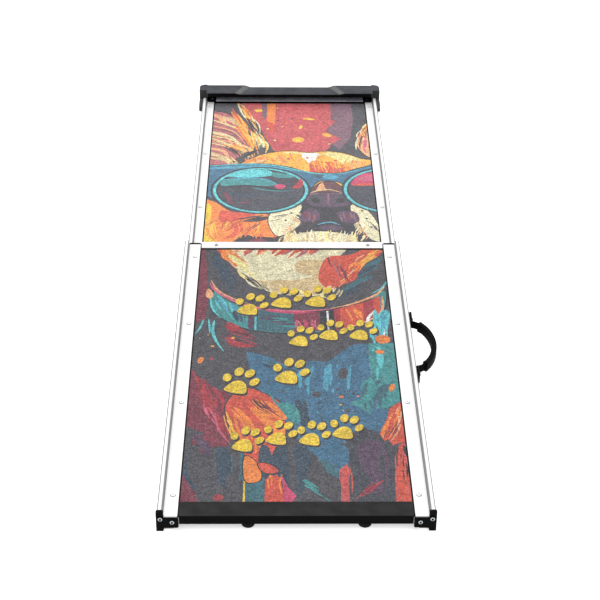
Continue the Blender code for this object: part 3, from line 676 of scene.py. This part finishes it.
def paint_muzzle(art):
    """Cheeks, two soft jowls under a dark nose, and the mouth's dark band."""
    art.blob(
        "orange", (-220, 1060), (-166, 1050), (-130, 1008), (-90, 1000), (-46, 990), (-40, 940), (-24, 905),
        (-60, 896), (-104, 906), (-100, 840), (-220, 840),
    )
    art.blob(
        "yellow", (-220, 1010), (-176, 1040), (-170, 990), (-178, 930), (-160, 880), (-150, 840),
        (-220, 840),
    )
    art.blob(
        "orange", (-178, 960), (-168, 900), (-140, 850), (-108, 850), (-104, 900), (-120, 950), (-150, 980),
    )
    art.blob("coral", (-150, 1010), (-120, 1004), (-76, 998), (-90, 980), (-130, 960), (-150, 966))
    art.strokes("coral amber", (-140, 960), (-60, 960), (-20, -70), 10, 4, 0.12)
    art.strokes("amber orange", (-176, 980), (-130, 940), (16, -100), 10, 5, -0.1)
    art.strokes("slate ink", (-60, 988), (-40, 984), (-60, -16), 8, 6)
    art.strokes("brown wine", (-150, 980), (-60, 960), (-34, -40), 10, 1.8, 0.12)
    art.blob(
        "ink", (-106, 900), (-70, 900), (-30, 898), (0, 925), (24, 960), (20, 1060), (140, 1060),
        (150, 1000), (190, 880), (190, 840), (-100, 840),
    )
    art.blob("maroon", (-92, 884), (-70, 890), (-50, 886), (-66, 876))
    art.strokes("orange orange coral", (-104, 914), (-30, 912), (2, -16), 26, 3)
    art.blob(
        "cream", (12, 1052), (22, 1030), (18, 1006), (8, 980), (18, 956), (0, 926), (-28, 902), (-44, 936),
        (-48, 980), (-34, 1012), (-10, 1042), edge=2,
    )
    art.blob(
        "cream", (134, 1048), (152, 1030), (172, 984), (186, 920), (188, 880), (164, 888), (148, 926),
        (140, 970), (126, 1016), edge=2,
    )
    art.strokes("cream peach sand", (12, 1000), (-18, 916), (12, -18), 30, 3.5)
    art.strokes("cream peach sand", (132, 1010), (156, 900), (-10, -24), 30, 4)
    art.strokes("ink slate", (0, 1000), (-30, 960), (-34, -12), 7, 1.8)
    art.strokes("ink slate", (160, 980), (170, 930), (12, -30), 7, 1.8)
    for x, y in ((8, 1036), (0, 1000), (-12, 968), (150, 1010), (158, 976), (166, 940)):
        art.disc("ink", x, y, 2.6, 3.4)
    art.blob("plum", (28, 1010), (44, 1022), (60, 1000), (56, 970), (34, 962), (16, 974))
    art.blob("plum", (96, 1002), (120, 1010), (138, 1000), (142, 966), (126, 956), (104, 970))
    art.strokes("maroon violet", (34, 1010), (56, 990), (-6, -40), 8, 4)
    art.strokes("maroon violet", (104, 1000), (132, 996), (4, -36), 8, 4)
    art.stroke("sky", 5, (54, 950), (80, 961), (102, 948))
    art.blob("plum", (56, 940), (80, 948), (108, 938), (92, 928), (66, 930))
    art.blob(
        "cream", (-14, 840), (-6, 892), (20, 914), (60, 922), (100, 914), (126, 896), (138, 840), edge=2,
    )
    art.strokes("cream cream straw sand", (-10, 876), (132, 876), (2, 44), 70, 5)
    art.strokes("peach sand", (-24, 870), (-10, 888), (12, 26), 8, 3.5)
    art.strokes("sand cream", (0, 862), (120, 862), (0, 26), 20, 7)
    art.blob(
        "plum", (30, 1060), (34, 1080), (50, 1094), (80, 1098), (108, 1094), (126, 1078), (130, 1056),
        (120, 1034), (84, 1026), (44, 1032), edge=5,
    )
    art.stroke("violet", 7, (34, 1058), (42, 1084), (80, 1092), (116, 1082), (126, 1054))
    art.stroke("sky", 4, (110, 1086), (122, 1070), (126, 1050))
    for x, lean in ((53, 12), (106, -12)):
        art.disc("slate", x, 1062, 15, 22, lean)
        art.disc("ink", x, 1056, 9, 13, lean)
    art.stroke("violet", 5, (80, 1090), (80, 1060), (78, 1030))


def paint_eyes(art):
    """Two big round eye patches in teal, joined by a blue band over the bridge of the nose."""
    art.blob(
        "blue", (-220, 1120), (-220, 1206), (-150, 1222), (-70, 1228), (-10, 1214), (44, 1186), (112, 1184),
        (150, 1206), (220, 1224), (220, 1060), (140, 1100), (116, 1130), (100, 1144), (80, 1148),
        (60, 1144), (46, 1120), (30, 1080), (-30, 1030), (-130, 1040), edge=3,
    )
    art.blob(
        "sky", (-200, 1200), (-150, 1214), (-70, 1221), (-14, 1206), (20, 1188), (-40, 1206), (-140, 1204),
    )
    art.strokes("sea night", (30, 1190), (60, 1170), (40, -10), 8, 5)
    art.blob("sky", (70, 1166), (80, 1176), (104, 1170), (100, 1158), (80, 1154))
    art.stroke(
        "cyan", 5, (-196, 1214), (-110, 1227), (-40, 1222), (20, 1196), (56, 1182), (110, 1182),
        (184, 1214),
    )
    art.blob("brown", (46, 1096), (56, 1124), (70, 1140), (90, 1142), (104, 1126), (116, 1096), edge=3)
    art.patch("peach", (54, 1100), (62, 1130), (70, 1140), (74, 1116), (78, 1102))
    art.stroke("sand", 5, (42, 1090), (60, 1102), (84, 1106), (112, 1090))
    for x in (-66, 218):
        for ink, grow in (("ink", 13), ("sea", 9), ("cyan", 7), ("ink", 1), ("dusk", -3)):
            art.disc(ink, x, 1104, 96 + grow, 96 + grow)
    art.blob(
        "cyan", (-140, 1166), (-122, 1186), (-86, 1198), (-50, 1196), (-38, 1176), (-60, 1166),
        (-100, 1162),
    )
    art.blob("teal", (-40, 1184), (-10, 1180), (10, 1166), (-10, 1160), (-38, 1166))
    art.blob(
        "teal", (-150, 1148), (-100, 1156), (-56, 1152), (-30, 1132), (-50, 1122), (-100, 1126),
        (-148, 1122),
    )
    art.stroke("sky", 6, (-152, 1150), (-100, 1159), (-56, 1153), (-32, 1132))
    art.stroke("ink", 6, (-152, 1118), (-100, 1124), (-60, 1116), (-20, 1102), (16, 1104))
    art.stroke("teal", 5, (-84, 1114), (-56, 1104), (-30, 1099), (8, 1101))
    art.disc("magenta", -24, 1120, 12, 11)
    art.patch("wine", (2, 1110), (14, 1140), (22, 1160), (27, 1140), (26, 1120), (14, 1110))
    art.strokes("slate night", (-140, 1086), (-40, 1090), (50, -20), 16, 9)
    art.blob("maroon", (-146, 1090), (-136, 1056), (-124, 1036), (-126, 1052), (-138, 1086))
    art.patch("maroon", (-112, 1048), (-92, 1050), (-84, 1044), (-104, 1042))
    art.blob("magenta", (132, 1128), (142, 1160), (166, 1184), (220, 1190), (220, 1130), (170, 1126))
    art.blob("rose", (150, 1150), (168, 1172), (220, 1178), (220, 1152))
    art.patch("coral", (132, 1128), (150, 1124), (220, 1126), (220, 1134), (150, 1136))


def paint_lower():
    """Its chest, a collar and a splashed cloth, with paw prints over them."""
    low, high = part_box("lower_grip_sheet")
    art = Canvas(*sheet_corners(low, high), "slate", 23)
    paint_chest(art)
    paint_collar(art)
    paint_cloth(art)
    paint_drips(art)
    paint_marks(art)
    return art


def paint_chest(art):
    """Pale chest fur between orange and coral."""
    art.patch("maroon", (-190, 540), (-164, 560), (-160, 640), (-166, 720), (-176, 850), (-190, 850))
    art.strokes("night slate", (-164, 820), (-140, 740), (30, -100), 14, 12)
    art.strokes("night slate sea", (176, 790), (130, 660), (-60, -60), 22, 12)
    art.blob(
        "cream", (-140, 850), (-136, 790), (-110, 750), (-96, 716), (-84, 684), (-60, 666), (-30, 650),
        (20, 640), (70, 650), (84, 676), (76, 720), (84, 770), (100, 850),
    )
    art.blob(
        "sand", (-60, 690), (-40, 660), (0, 646), (50, 648), (66, 680), (56, 720), (10, 700), (-30, 700),
    )
    art.blob("sand", (10, 770), (56, 776), (66, 740), (48, 716), (10, 730))
    art.strokes("orange coral peach", (-146, 830), (-120, 780), (34, -56), 14, 8, -0.1)
    art.strokes("orange amber", (-146, 850), (-130, 810), (40, -60), 8, 8, -0.1)
    art.strokes("cream straw", (-130, 810), (-100, 730), (44, -50), 16, 7, -0.1)
    art.strokes("coral mauve peach", (-100, 850), (60, 850), (-24, -50), 26, 12, 0.06)
    art.strokes("mauve coral", (-30, 846), (80, 840), (-24, -56), 14, 10, 0.06)
    art.blob(
        "coral", (58, 760), (74, 790), (120, 800), (176, 850), (176, 800), (150, 770), (130, 730),
        (120, 700), (90, 680), (74, 662), (58, 680), (50, 710),
    )
    art.strokes("coral orange peach", (150, 800), (110, 720), (-30, -50), 16, 7, -0.1)
    art.strokes("amber orange", (184, 830), (160, 780), (-40, -56), 10, 6, -0.1)
    art.strokes("mauve maroon", (70, 790), (100, 740), (10, -60), 8, 4)
    art.strokes("cream straw sand", (-80, 700), (60, 660), (16, -30), 22, 5)
    art.strokes("cream sand", (70, 676), (92, 664), (-10, -30), 8, 4)
    art.strokes("ink slate", (-110, 740), (-60, 680), (26, -40), 12, 3)


def paint_collar(art):
    """A wide band that sweeps round the neck, with a bright rim and a few divisions."""
    art.blob(
        "teal", (-150, 660), (-128, 630), (-96, 606), (-50, 590), (0, 584), (50, 588), (96, 600),
        (140, 622), (176, 660), (168, 586), (140, 556), (100, 530), (60, 518), (0, 514), (-60, 520),
        (-100, 536), (-134, 566), (-152, 600), edge=4,
    )
    art.patch("sea", (-68, 594), (-30, 588), (0, 584), (4, 516), (-30, 517), (-68, 522))
    art.patch("plum", (-84, 598), (-72, 594), (-72, 524), (-84, 530))
    art.patch("cyan", (-72, 594), (-68, 593), (-68, 522), (-72, 524))
    art.patch("maroon", (0, 584), (50, 588), (48, 520), (2, 516))
    art.patch("ink", (50, 588), (76, 594), (78, 522), (48, 520))
    art.patch("white", (62, 588), (66, 589), (66, 524), (63, 524))
    art.patch("wine", (76, 594), (100, 602), (96, 530), (78, 522))
    art.patch("coral", (88, 598), (140, 622), (166, 644), (164, 584), (140, 558), (100, 531), (88, 528))
    art.patch("wine", (132, 618), (152, 632), (152, 570), (132, 552))
    art.strokes("sky cyan", (-146, 640), (-120, 606), (18, -54), 9, 6)
    art.strokes("sea teal night", (-112, 596), (-92, 586), (10, -44), 8, 7)
    art.strokes("night teal plum", (-64, 572), (-20, 540), (44, -2), 14, 6)
    art.strokes("magenta rose", (4, 560), (40, 560), (4, -36), 8, 4)
    art.strokes("orange coral", (98, 590), (128, 600), (8, -40), 10, 6)
    art.stroke(
        "rose", 8, (-160, 690), (-148, 662), (-122, 634), (-90, 610), (-50, 594), (0, 588), (50, 592),
        (80, 598),
    )
    art.stroke("peach", 4, (-158, 700), (-144, 664), (-118, 636), (-80, 612))
    art.stroke("peach", 6, (176, 676), (160, 648), (132, 626), (100, 608), (70, 598))
    art.stroke("magenta", 7, (-52, 590), (0, 583), (40, 585))
    art.stroke("cyan", 4, (-156, 640), (-152, 598), (-134, 562))
    art.stroke("peach", 5, (170, 640), (166, 588), (140, 556), (100, 530))
    art.stroke("cyan", 4, (184, 700), (170, 670), (150, 650))
    art.blob("peach", (-162, 668), (-152, 650), (-156, 630), (-166, 644))


def paint_cloth(art):
    """Folds of maroon, coral and blue below the collar: large flat shapes with a few brush marks."""
    art.blob("wine", (-124, 550), (-104, 540), (-82, 512), (-70, 496), (-92, 504), (-114, 524))
    art.blob("wine", (-122, 500), (-90, 494), (-66, 474), (-92, 466), (-114, 474))
    art.strokes("wine maroon", (-122, 540), (-112, 490), (44, -26), 12, 7)
    art.strokes("ink slate", (-112, 520), (-104, 490), (44, -22), 8, 3)
    for shift in (0, 9):
        art.stroke("cyan", 4, (-166 + shift, 560), (-172 + shift * 2, 530), (-180 + shift * 3, 510))
    art.stroke("cyan", 6, (-146, 556), (-148, 520), (-140, 486), (-126, 454))
    art.strokes("cyan sky white", (150, 590), (182, 590), (-16, -110), 14, 7, -0.05)
    art.blob(
        "blue", (-84, 440), (-78, 450), (-44, 436), (-20, 414), (8, 408), (30, 424), (60, 422), (84, 450),
        (110, 476), (140, 470), (150, 400), (150, 260), (122, 232), (84, 190), (70, 110), (20, 170),
        (-60, 330),
    )
    art.strokes("sea night", (-70, 430), (-10, 400), (40, -26), 8, 7)
    art.strokes("blue sky", (20, 400), (120, 420), (-10, -90), 12, 12)
    art.strokes("blue night", (0, 300), (100, 300), (10, -80), 12, 12)
    for x, y, wide, tall in ((86, 385, 9, 17), (38, 322, 8, 8), (90, 274, 4, 8), (-20, 330, 3, 5)):
        art.disc("slate", x, y, wide, tall, -10)
    art.blob(
        "maroon", (-190, 390), (-170, 376), (-146, 330), (-114, 330), (-112, 220), (-112, 120), (-140, 160),
    )
    art.patch("maroon", (-190, 390), (-150, 330), (-130, 200), (-190, 236))
    art.strokes("maroon wine", (-182, 400), (-146, 340), (24, -90), 14, 11)
    art.strokes("rose wine", (-176, 330), (-130, 260), (30, -90), 8, 5)
    art.strokes("maroon plum", (-186, 230), (-140, 170), (46, -70), 10, 8)
    art.blob(
        "coral", (-84, 340), (-60, 330), (-24, 296), (-22, 250), (-16, 240), (-26, 190), (-30, 120),
        (-60, 130), (-92, 170), (-110, 240), (-118, 284), (-106, 320), edge=2,
    )
    art.blob("orange", (-72, 306), (-40, 296), (-20, 270), (-14, 250), (-34, 254), (-60, 270))
    art.blob("orange", (-76, 280), (-60, 250), (-40, 216), (-18, 206), (-20, 236), (-40, 250), (-60, 280))
    art.strokes("coral red orange", (-112, 290), (-80, 240), (26, -110), 16, 8, 0.05)
    art.strokes("maroon ink", (-84, 310), (-50, 300), (40, -50), 8, 3, -0.05)
    art.strokes("amber yellow", (-118, 270), (-106, 210), (14, -60), 5, 3)
    art.blob(
        "teal", (-44, 334), (-30, 300), (-8, 296), (8, 270), (6, 238), (-10, 250), (-24, 278), (-40, 310),
    )
    art.blob(
        "teal", (136, 480), (134, 400), (150, 350), (140, 310), (116, 296), (98, 298), (104, 290),
        (130, 286),
    )
    art.patch(
        "teal", (136, 480), (134, 400), (148, 340), (150, 300), (130, 270), (160, 284), (190, 300),
        (190, 480),
    )
    art.strokes("teal cyan", (140, 470), (176, 460), (4, -120), 12, 9)
    art.strokes("teal sea", (140, 380), (170, 340), (-20, -90), 12, 10, -0.15)
    art.stroke("teal", 17, (132, 372), (134, 330), (118, 304), (96, 298))
    art.blob("blue", (118, 236), (134, 212), (156, 220), (160, 270), (140, 280))
    art.blob(
        "coral", (190, 296), (164, 284), (154, 250), (140, 210), (138, 190), (146, 172), (168, 184),
        (190, 200),
    )
    art.strokes("orange coral peach", (182, 290), (160, 240), (-16, -66), 14, 6)
    art.strokes("maroon brown", (176, 250), (156, 210), (-12, -26), 8, 2)
    for x, y, wide, tall in (
        (162, 493, 14, 14), (155, 452, 8, 7), (169, 342, 5, 12), (80, 315, 4, 4), (-166, 426, 5, 11),
    ):
        art.disc("orange", x, y, wide, tall, -15)
    art.splashes("orange amber cyan", (0, 260), (110, 400), 12, 4)
    art.splashes("slate night sky", (0, 200), (110, 400), 26, 4)
    art.splashes("wine amber", (-180, 400), (-100, 520), 8, 4)


def paint_drips(art):
    """Upright runs of paint along the low edge."""
    art.patch("sea", (-110, 150), (-84, 160), (-84, 90), (-100, 96))
    art.strokes("slate night", (-180, 180), (170, 180), (2, -140), 30, 20)
    art.patch("maroon", (-190, 20), (-190, 120), (-160, 60), (-150, 20))
    art.disc("wine", -122, 46, 8)
    art.patch("sea", (-80, 20), (-80, 90), (-50, 96), (-50, 20))
    art.patch("yellow", (-84, 20), (-83, 92), (-81, 92), (-80, 20))
    art.blob("orange", (-82, 150), (-66, 138), (-56, 110), (-58, 88), (-78, 84), (-84, 110), edge=2)
    art.blob("coral", (-60, 132), (-40, 128), (-28, 112), (-40, 106), (-54, 112), edge=2)
    art.patch("coral", (-50, 20), (-49, 90), (-38, 102), (-26, 96), (-20, 60), (-19, 20))
    art.strokes("orange coral", (-44, 100), (-26, 100), (0, -60), 8, 6)
    art.patch("magenta", (-24, 104), (-12, 70), (0, 50), (-10, 20), (-19, 20), (-19, 60))
    art.blob("blue", (20, 176), (50, 180), (84, 176), (84, 120), (70, 104), (50, 130), (30, 156))
    art.patch("sea", (34, 150), (60, 130), (72, 104), (70, 90), (50, 110))
    art.patch("red", (70, 20), (72, 110), (82, 132), (88, 110), (84, 90), (84, 20))
    art.strokes("coral red", (74, 120), (84, 120), (0, -80), 6, 4)
    art.blob("dusk", (90, 200), (96, 60), (110, 20), (150, 20), (156, 120), (150, 180), (130, 220))
    art.strokes("plum dusk", (100, 190), (150, 190), (2, -140), 18, 13)
    art.strokes("wine maroon", (134, 90), (124, 70), (-30, -34), 6, 4)
    art.patch("coral", (156, 20), (158, 100), (164, 124), (170, 180), (190, 190), (190, 20))
    art.strokes("coral red ink", (164, 150), (180, 180), (0, -120), 10, 5)
    art.strokes("sea teal", (10, 90), (30, 60), (30, -30), 6, 5)


def paint_marks(art):
    """Four rows of yellow paw prints, each climbing a little to the right."""
    rows = (
        ((-80, 612), (48, 640), 3, 56),
        ((14, 504), (124, 524), 3, 50),
        ((-96, 362), (-8, 382), 2, 58),
        ((-82, 196), (84, 220), 4, 50),
    )
    for (x0, y0), (x1, y1), count, size in rows:
        for i in range(count):
            share = i / (count - 1)
            step = 5 if i % 2 else -5
            art.paw(x0 + (x1 - x0) * share, y0 + (y1 - y0) * share + step, size, -16)


def sheet_corners(low, high):
    """The sheet's corners in the canvas's millimetres."""
    return tuple(((x - CENTRE_X) / MM, (y - NEAR_Y) / MM) for x, y, _ in (low, high))


def inside(points, loop):
    """Which points are within the closed loop."""
    x, y = points[:, 0], points[:, 1]
    result = np.zeros(len(points), bool)
    for (x0, y0), (x1, y1) in zip(loop, np.roll(loop, -1, axis=0), strict=True):
        if y0 == y1:
            continue
        crossing = (y0 > y) != (y1 > y)
        result ^= crossing & (x < (x1 - x0) * (y - y0) / (y1 - y0) + x0)
    return result


def cut_canvas(art):
    """The canvas as flat triangles cut along every shape's outline, with a colour for each."""
    points, edges = [], []
    for _, loop in art.shapes:
        base = len(points)
        points += [Vector(p) for p in loop]
        edges += [(base + i, base + (i + 1) % len(loop)) for i in range(len(loop))]
    same_point = 0.02
    corners, _, faces, *_ = delaunay_2d_cdt(points, edges, [], 0, same_point)
    corners = np.array([tuple(c) for c in corners])
    faces = np.array([f for f in faces if len(f) == 3])
    centres = corners[faces].mean(axis=1)
    kept = ((centres > art.low) & (centres < art.high)).all(axis=1)
    faces, centres = faces[kept], centres[kept]
    colours = np.zeros((len(faces), 4))
    for ink, loop in art.shapes:
        near = ((centres >= loop.min(axis=0)) & (centres <= loop.max(axis=0))).all(axis=1)
        chosen = np.flatnonzero(near)
        chosen = chosen[inside(centres[chosen], loop)]
        colours[chosen] = linear(*ink)
    return corners, faces, colours


def printed_sheet(node, art, material, body):
    """A closed slab in place of a CAD sheet, with the art on its top."""
    low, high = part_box(node)
    corners, faces, colours = cut_canvas(art)
    used, faces = np.unique(faces, return_inverse=True)
    faces = faces.reshape(-1, 3)
    bm = bmesh.new()
    paint = bm.loops.layers.float_color.new(PAINT)
    plane = []
    for height in (high[2], low[2]):
        places = [(CENTRE_X + x * MM, NEAR_Y + y * MM, height) for x, y in corners[used]]
        plane.append([bm.verts.new(place) for place in places])
    top, bottom = plane
    for triangle, colour in zip(faces, colours, strict=True):
        for side in (top, bottom):
            face = bm.faces.new([side[i] for i in triangle])
            for loop in face.loops:
                loop[paint] = colour
    matching = dict(zip(top, bottom, strict=True))
    rim = [edge for edge in bm.edges if edge.is_boundary and edge.verts[0] in matching]
    for edge in rim:
        a, b = edge.verts
        colour = edge.link_loops[0][paint]
        face = bm.faces.new((a, b, matching[b], matching[a]))
        for loop in face.loops:
            loop[paint] = colour
    made = piece(node.replace("grip", "printed"), bm, material, body)
    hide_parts(node)


# Small pieces


def fastener(node, outward, profile, material):
    """A turned piece in place of a CAD rivet or screw, with its head's top where the CAD head's is."""
    low, high = (Vector(corner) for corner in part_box(node))
    outward = Vector(outward)
    length = sum(abs(outward[i]) * (high - low)[i] for i in range(3))
    outline = [(radius * MM, height * MM, *flats) for radius, height, *flats in profile(length / MM)]
    bm = turned(outline, sides=24)
    turn = Vector((0, 0, 1)).rotation_difference(outward).to_matrix().to_4x4()
    bm.transform(Matrix.Translation((low + high + outward * length) / 2) @ turn)
    body = UPPER if node.startswith(("upper", "end_clip")) else LOWER
    made = piece(node + "_turned", bm, material, body, sharp=30)
    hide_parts(node)


def rivet_profile(length):
    """A domed blind rivet with its broken-off pin sunk in the middle, in millimetres from its top."""
    radius, height, hole, shank, core = 4.4, 1.6, 1.2, 2.1, 0.2
    profile = [(core, -0.9), (hole - 0.1, -0.85), (hole, -0.3)]
    for i in range(7):
        turn = radians(24 + 66 * i / 6)
        profile.append((radius * sin(turn), height * (cos(turn) - 1)))
    under = -height - 0.05
    return profile + [(radius, under), (shank, under), (shank, -length), (core, -length)]


def screw_profile(length):
    """A pan head with a hexagon socket, and a plain shank, in millimetres from its top."""
    radius, height, socket, shank, core = 3.5, 2.2, 1.9, 1.4, 0.2
    profile = [(core, -2.0), (0.6, -2.0), (socket, -1.9, 6), (socket, -0.15, 6), (socket + 0.3, 0)]
    shoulder = 46
    for i in range(6):
        turn = radians(shoulder + (90 - shoulder) * i / 5)
        profile.append((radius * sin(turn), -height * 0.6 * (cos(radians(shoulder)) - cos(turn))))
    return profile + [(radius, -height), (shank, -height), (shank, -length), (core, -length)]


def evenly(first, last, count):
    """That many numbers, the same step apart."""
    return [first + (last - first) * i / (count - 1) for i in range(count)]


def strap_base():
    """How far to the right the strap's middle lies where it is flat on the rail."""
    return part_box("handle_strap")[0][0] + STRAP_THICK / 2


def handle_path(turns):
    """Points along the handle's loop, from -1 at its near end over 0 at its tip to 1 at its far end."""
    base, tip = strap_base(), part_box("handle_grip")[1][0] - GRIP_THICK / 2
    near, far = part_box("handle_plate_near")[1][1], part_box("handle_plate_far")[0][1]
    half = (far - near) / 2 + 0.5 * MM
    level = middle("handle_grip").z
    path = []
    for turn in turns:
        across = max(cos(turn * pi / 2), 0) ** (2 / LOOP_POWER)
        along = abs(sin(turn * pi / 2)) ** (2 / LOOP_POWER) * (1 if turn > 0 else -1)
        path.append(Vector((base + (tip - base) * across, (near + far) / 2 + half * along, level)))
    return path


def build_handle(strap_finish, grip_finish):
    """A webbing strap, flat against the rail at both ends, with a ribbed sleeve round its loop."""
    low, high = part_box("handle_strap")
    loop = handle_path(evenly(-0.96, 0.96, 61))
    bend = 4 * MM
    ends = evenly(low[1], loop[0].y - bend, 3), evenly(loop[-1].y + bend, high[1], 3)
    near_end, far_end = ([Vector((strap_base(), y, loop[0].z)) for y in places] for places in ends)
    section = rounded_section(2.8 * MM, (high[2] - low[2]) * 0.84, 1.2 * MM)
    bm = swept(near_end + loop + far_end, section)
    strap = piece("handle_webbing", bm, strap_finish, LOWER)
    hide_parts("handle_strap")

    def ribs(along, length):
        collar = 4 * MM
        if min(along, length - along) < collar:
            return 1.0
        return 0.94 + 0.03 * cos(tau * along / RIB)

    low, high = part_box("handle_grip")
    section = rounded_section(GRIP_THICK, high[2] - low[2], 3 * MM)
    bm = swept(handle_path(evenly(-GRIP_SPAN, GRIP_SPAN, 121)), section, ribs)
    grip = piece("handle_sleeve", bm, grip_finish, LOWER, sharp=60)
    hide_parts("handle_grip")


def soften(node, width, material):
    """A CAD node keeps its shape, with small rounds on its edges and a finish of its own."""
    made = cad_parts[node]
    for slot in made.material_slots:
        slot.material = material
    if width:
        bevel = made.modifiers.new("rounds", "BEVEL")
        bevel.width = width
        bevel.segments = 2
        bevel.limit_method = "ANGLE"
        bevel.angle_limit = radians(32)


def build_fasteners(aluminium, steel):
    """Bright rivets and crossbar screws, and duller screws elsewhere."""
    upward = (0, 0, 1)
    sideways = {"bracket": (0, -1, 0), "handle": (1, 0, 0)}
    for node in sorted(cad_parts):
        held = node.split("_")[0]
        if "rivet" in node:
            fastener(node, upward, rivet_profile, aluminium)
        elif "screw" in node:
            metal = aluminium if held == "crossbar" else steel
            fastener(node, sideways.get(held, upward), screw_profile, metal)


def dress_nodes():
    """Every CAD node that stays gets its finish."""
    # The rails take painted shade on faces only slightly off level, so their rounds show as dark lines
    along_rail = drawn_metal("aluminium_rail", 1, 0.97, 0.55, (0.92, 0.997), 0.5)
    across = drawn_metal("aluminium_crossbar", 0, 0.95, 0.5)
    # The third number is the painted sheen on faces that look up; the far bar's is so high that its top is
    # a painted reflection
    smooth_black = moulded_plastic("moulded_black", 0.002, 0.012, 0.5, 0.9 * MM)
    satin_black = moulded_plastic("satin_black", 0.002, 0.028, 0.45, 0.6 * MM)
    cap_black = moulded_plastic("cap_black", 0.003, 0.074, 0.5, 1.1 * MM, cool, 0.15)
    far_black = moulded_plastic("far_bar_black", 0.002, 0.48, 0.4, 0.6 * MM, cool)
    soft = rubber()
    panel = film_faced_board()
    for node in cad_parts:
        if "rail_" in node and "plug" not in node and "guide" not in node:
            soften(node, 0.25 * MM, along_rail)
        elif node == "deck_crossbar":
            soften(node, 0.5 * MM, across)
        elif node == "upper_end_bar":
            soften(node, 0.4 * MM, far_black)
        elif node == "top_cap":
            soften(node, 0.9 * MM, cap_black)
        elif "panel" in node:
            soften(node, 0, panel)
        elif "foot" in node or "pad" in node:
            soften(node, 0.6 * MM, soft)
        elif "bar" in node:
            soften(node, 0.4 * MM, satin_black)
        elif not any(word in node for word in ("rivet", "screw", "grip", "strap")):
            soften(node, 0.4 * MM, smooth_black)


# Stage


def build_camera():
    """Stands a little left of the ramp's near end and looks down along it."""
    pitch, yaw, roll = radians(32.1413), radians(1.0457), radians(0.5975)
    left, back, height = 30.4 * MM, 1766.7 * MM, 1532.6 * MM
    sensor, lens = 36, 89.533
    forward = Vector((sin(yaw) * cos(pitch), cos(yaw) * cos(pitch), -sin(pitch)))
    level = Vector((cos(yaw), -sin(yaw), 0))
    upward = level.cross(forward)
    right = level * cos(roll) + upward * sin(roll)
    upright = upward * cos(roll) - level * sin(roll)
    data = bpy.data.cameras.new("camera")
    data.sensor_width = sensor
    data.lens = lens
    camera = bpy.data.objects.new("camera", data)
    camera.matrix_world = Matrix((right, upright, -forward)).transposed().to_4x4()
    camera.matrix_world.translation = (CENTRE_X - left, NEAR_Y - back, height)
    bpy.context.scene.collection.objects.link(camera)
    bpy.context.scene.camera = camera


def build_floor():
    """A white studio floor."""
    finish = Finish("studio_floor", roughness=0.9, specular=0.0, glow=0.5)
    finish.shader.inputs["Emission Color"].default_value = grey(1.0)
    cloud = finish.noise(400 * MM)
    finish.feed("Base Color", finish.mix(finish.spread(cloud, 0, 1), grey(0.93), grey(0.94)))
    bm = bmesh.new()
    half, level = 60, GROUND_Z - 0.2 * MM
    corners = ((-half, -half), (half, -half), (half, half), (-half, half))
    bm.faces.new([bm.verts.new((x, y, level)) for x, y in corners])
    mesh = bpy.data.meshes.new("floor")
    bm.to_mesh(mesh)
    bm.free()
    mesh.materials.append(finish.material)
    floor = bpy.data.objects.new("floor", mesh)
    bpy.context.scene.collection.objects.link(floor)


def build_light():
    """Soft white light from all round, dimmer towards the horizon, and a broad panel above."""
    horizon, overhead, fade, watts = 0.6, 1.16, 0.4, 22
    world = bpy.data.worlds.new("studio")
    world.use_nodes = True
    tree = world.node_tree
    sky = tree.nodes.new("ShaderNodeTexCoord")
    height = tree.nodes.new("ShaderNodeSeparateXYZ")
    tree.links.new(sky.outputs["Generated"], height.inputs[0])
    rise = tree.nodes.new("ShaderNodeMapRange")
    tree.links.new(height.outputs["Z"], rise.inputs["Value"])
    rise.inputs["From Max"].default_value = fade
    rise.inputs["To Min"].default_value = horizon
    rise.inputs["To Max"].default_value = overhead
    tree.links.new(rise.outputs[0], tree.nodes["Background"].inputs["Strength"])
    tree.nodes["Background"].inputs["Color"].default_value = (1, 1, 1, 1)
    bpy.context.scene.world = world
    panel = bpy.data.lights.new("overhead_panel", "AREA")
    panel.shape = "RECTANGLE"
    panel.size, panel.size_y = 3.0, 4.0
    panel.energy = watts
    light = bpy.data.objects.new("overhead_panel", panel)
    light.location = (-0.6, 0.0, 3.2)
    light.rotation_euler = (0, radians(-10), 0)
    bpy.context.scene.collection.objects.link(light)
    bpy.context.scene.view_settings.view_transform = "Standard"


# The second number is how much painted sheen each sheet's print gets
printed_sheet("lower_grip_sheet", paint_lower(), printed_grit("printed_grit_lower", 0.02, 0.67), LOWER)
printed_sheet("upper_grip_sheet", paint_upper(), printed_grit("printed_grit_upper", 0.09, 0.9), UPPER)
build_fasteners(drawn_metal("rivet_aluminium", 2, 0.9, 0.36, (0.5, 0.93)), plated_steel())
build_handle(webbing(), moulded_plastic("handle_rubber", 0.002, 0.006, 0.6, 0.8 * MM))
dress_nodes()
build_camera()
build_floor()
build_light()
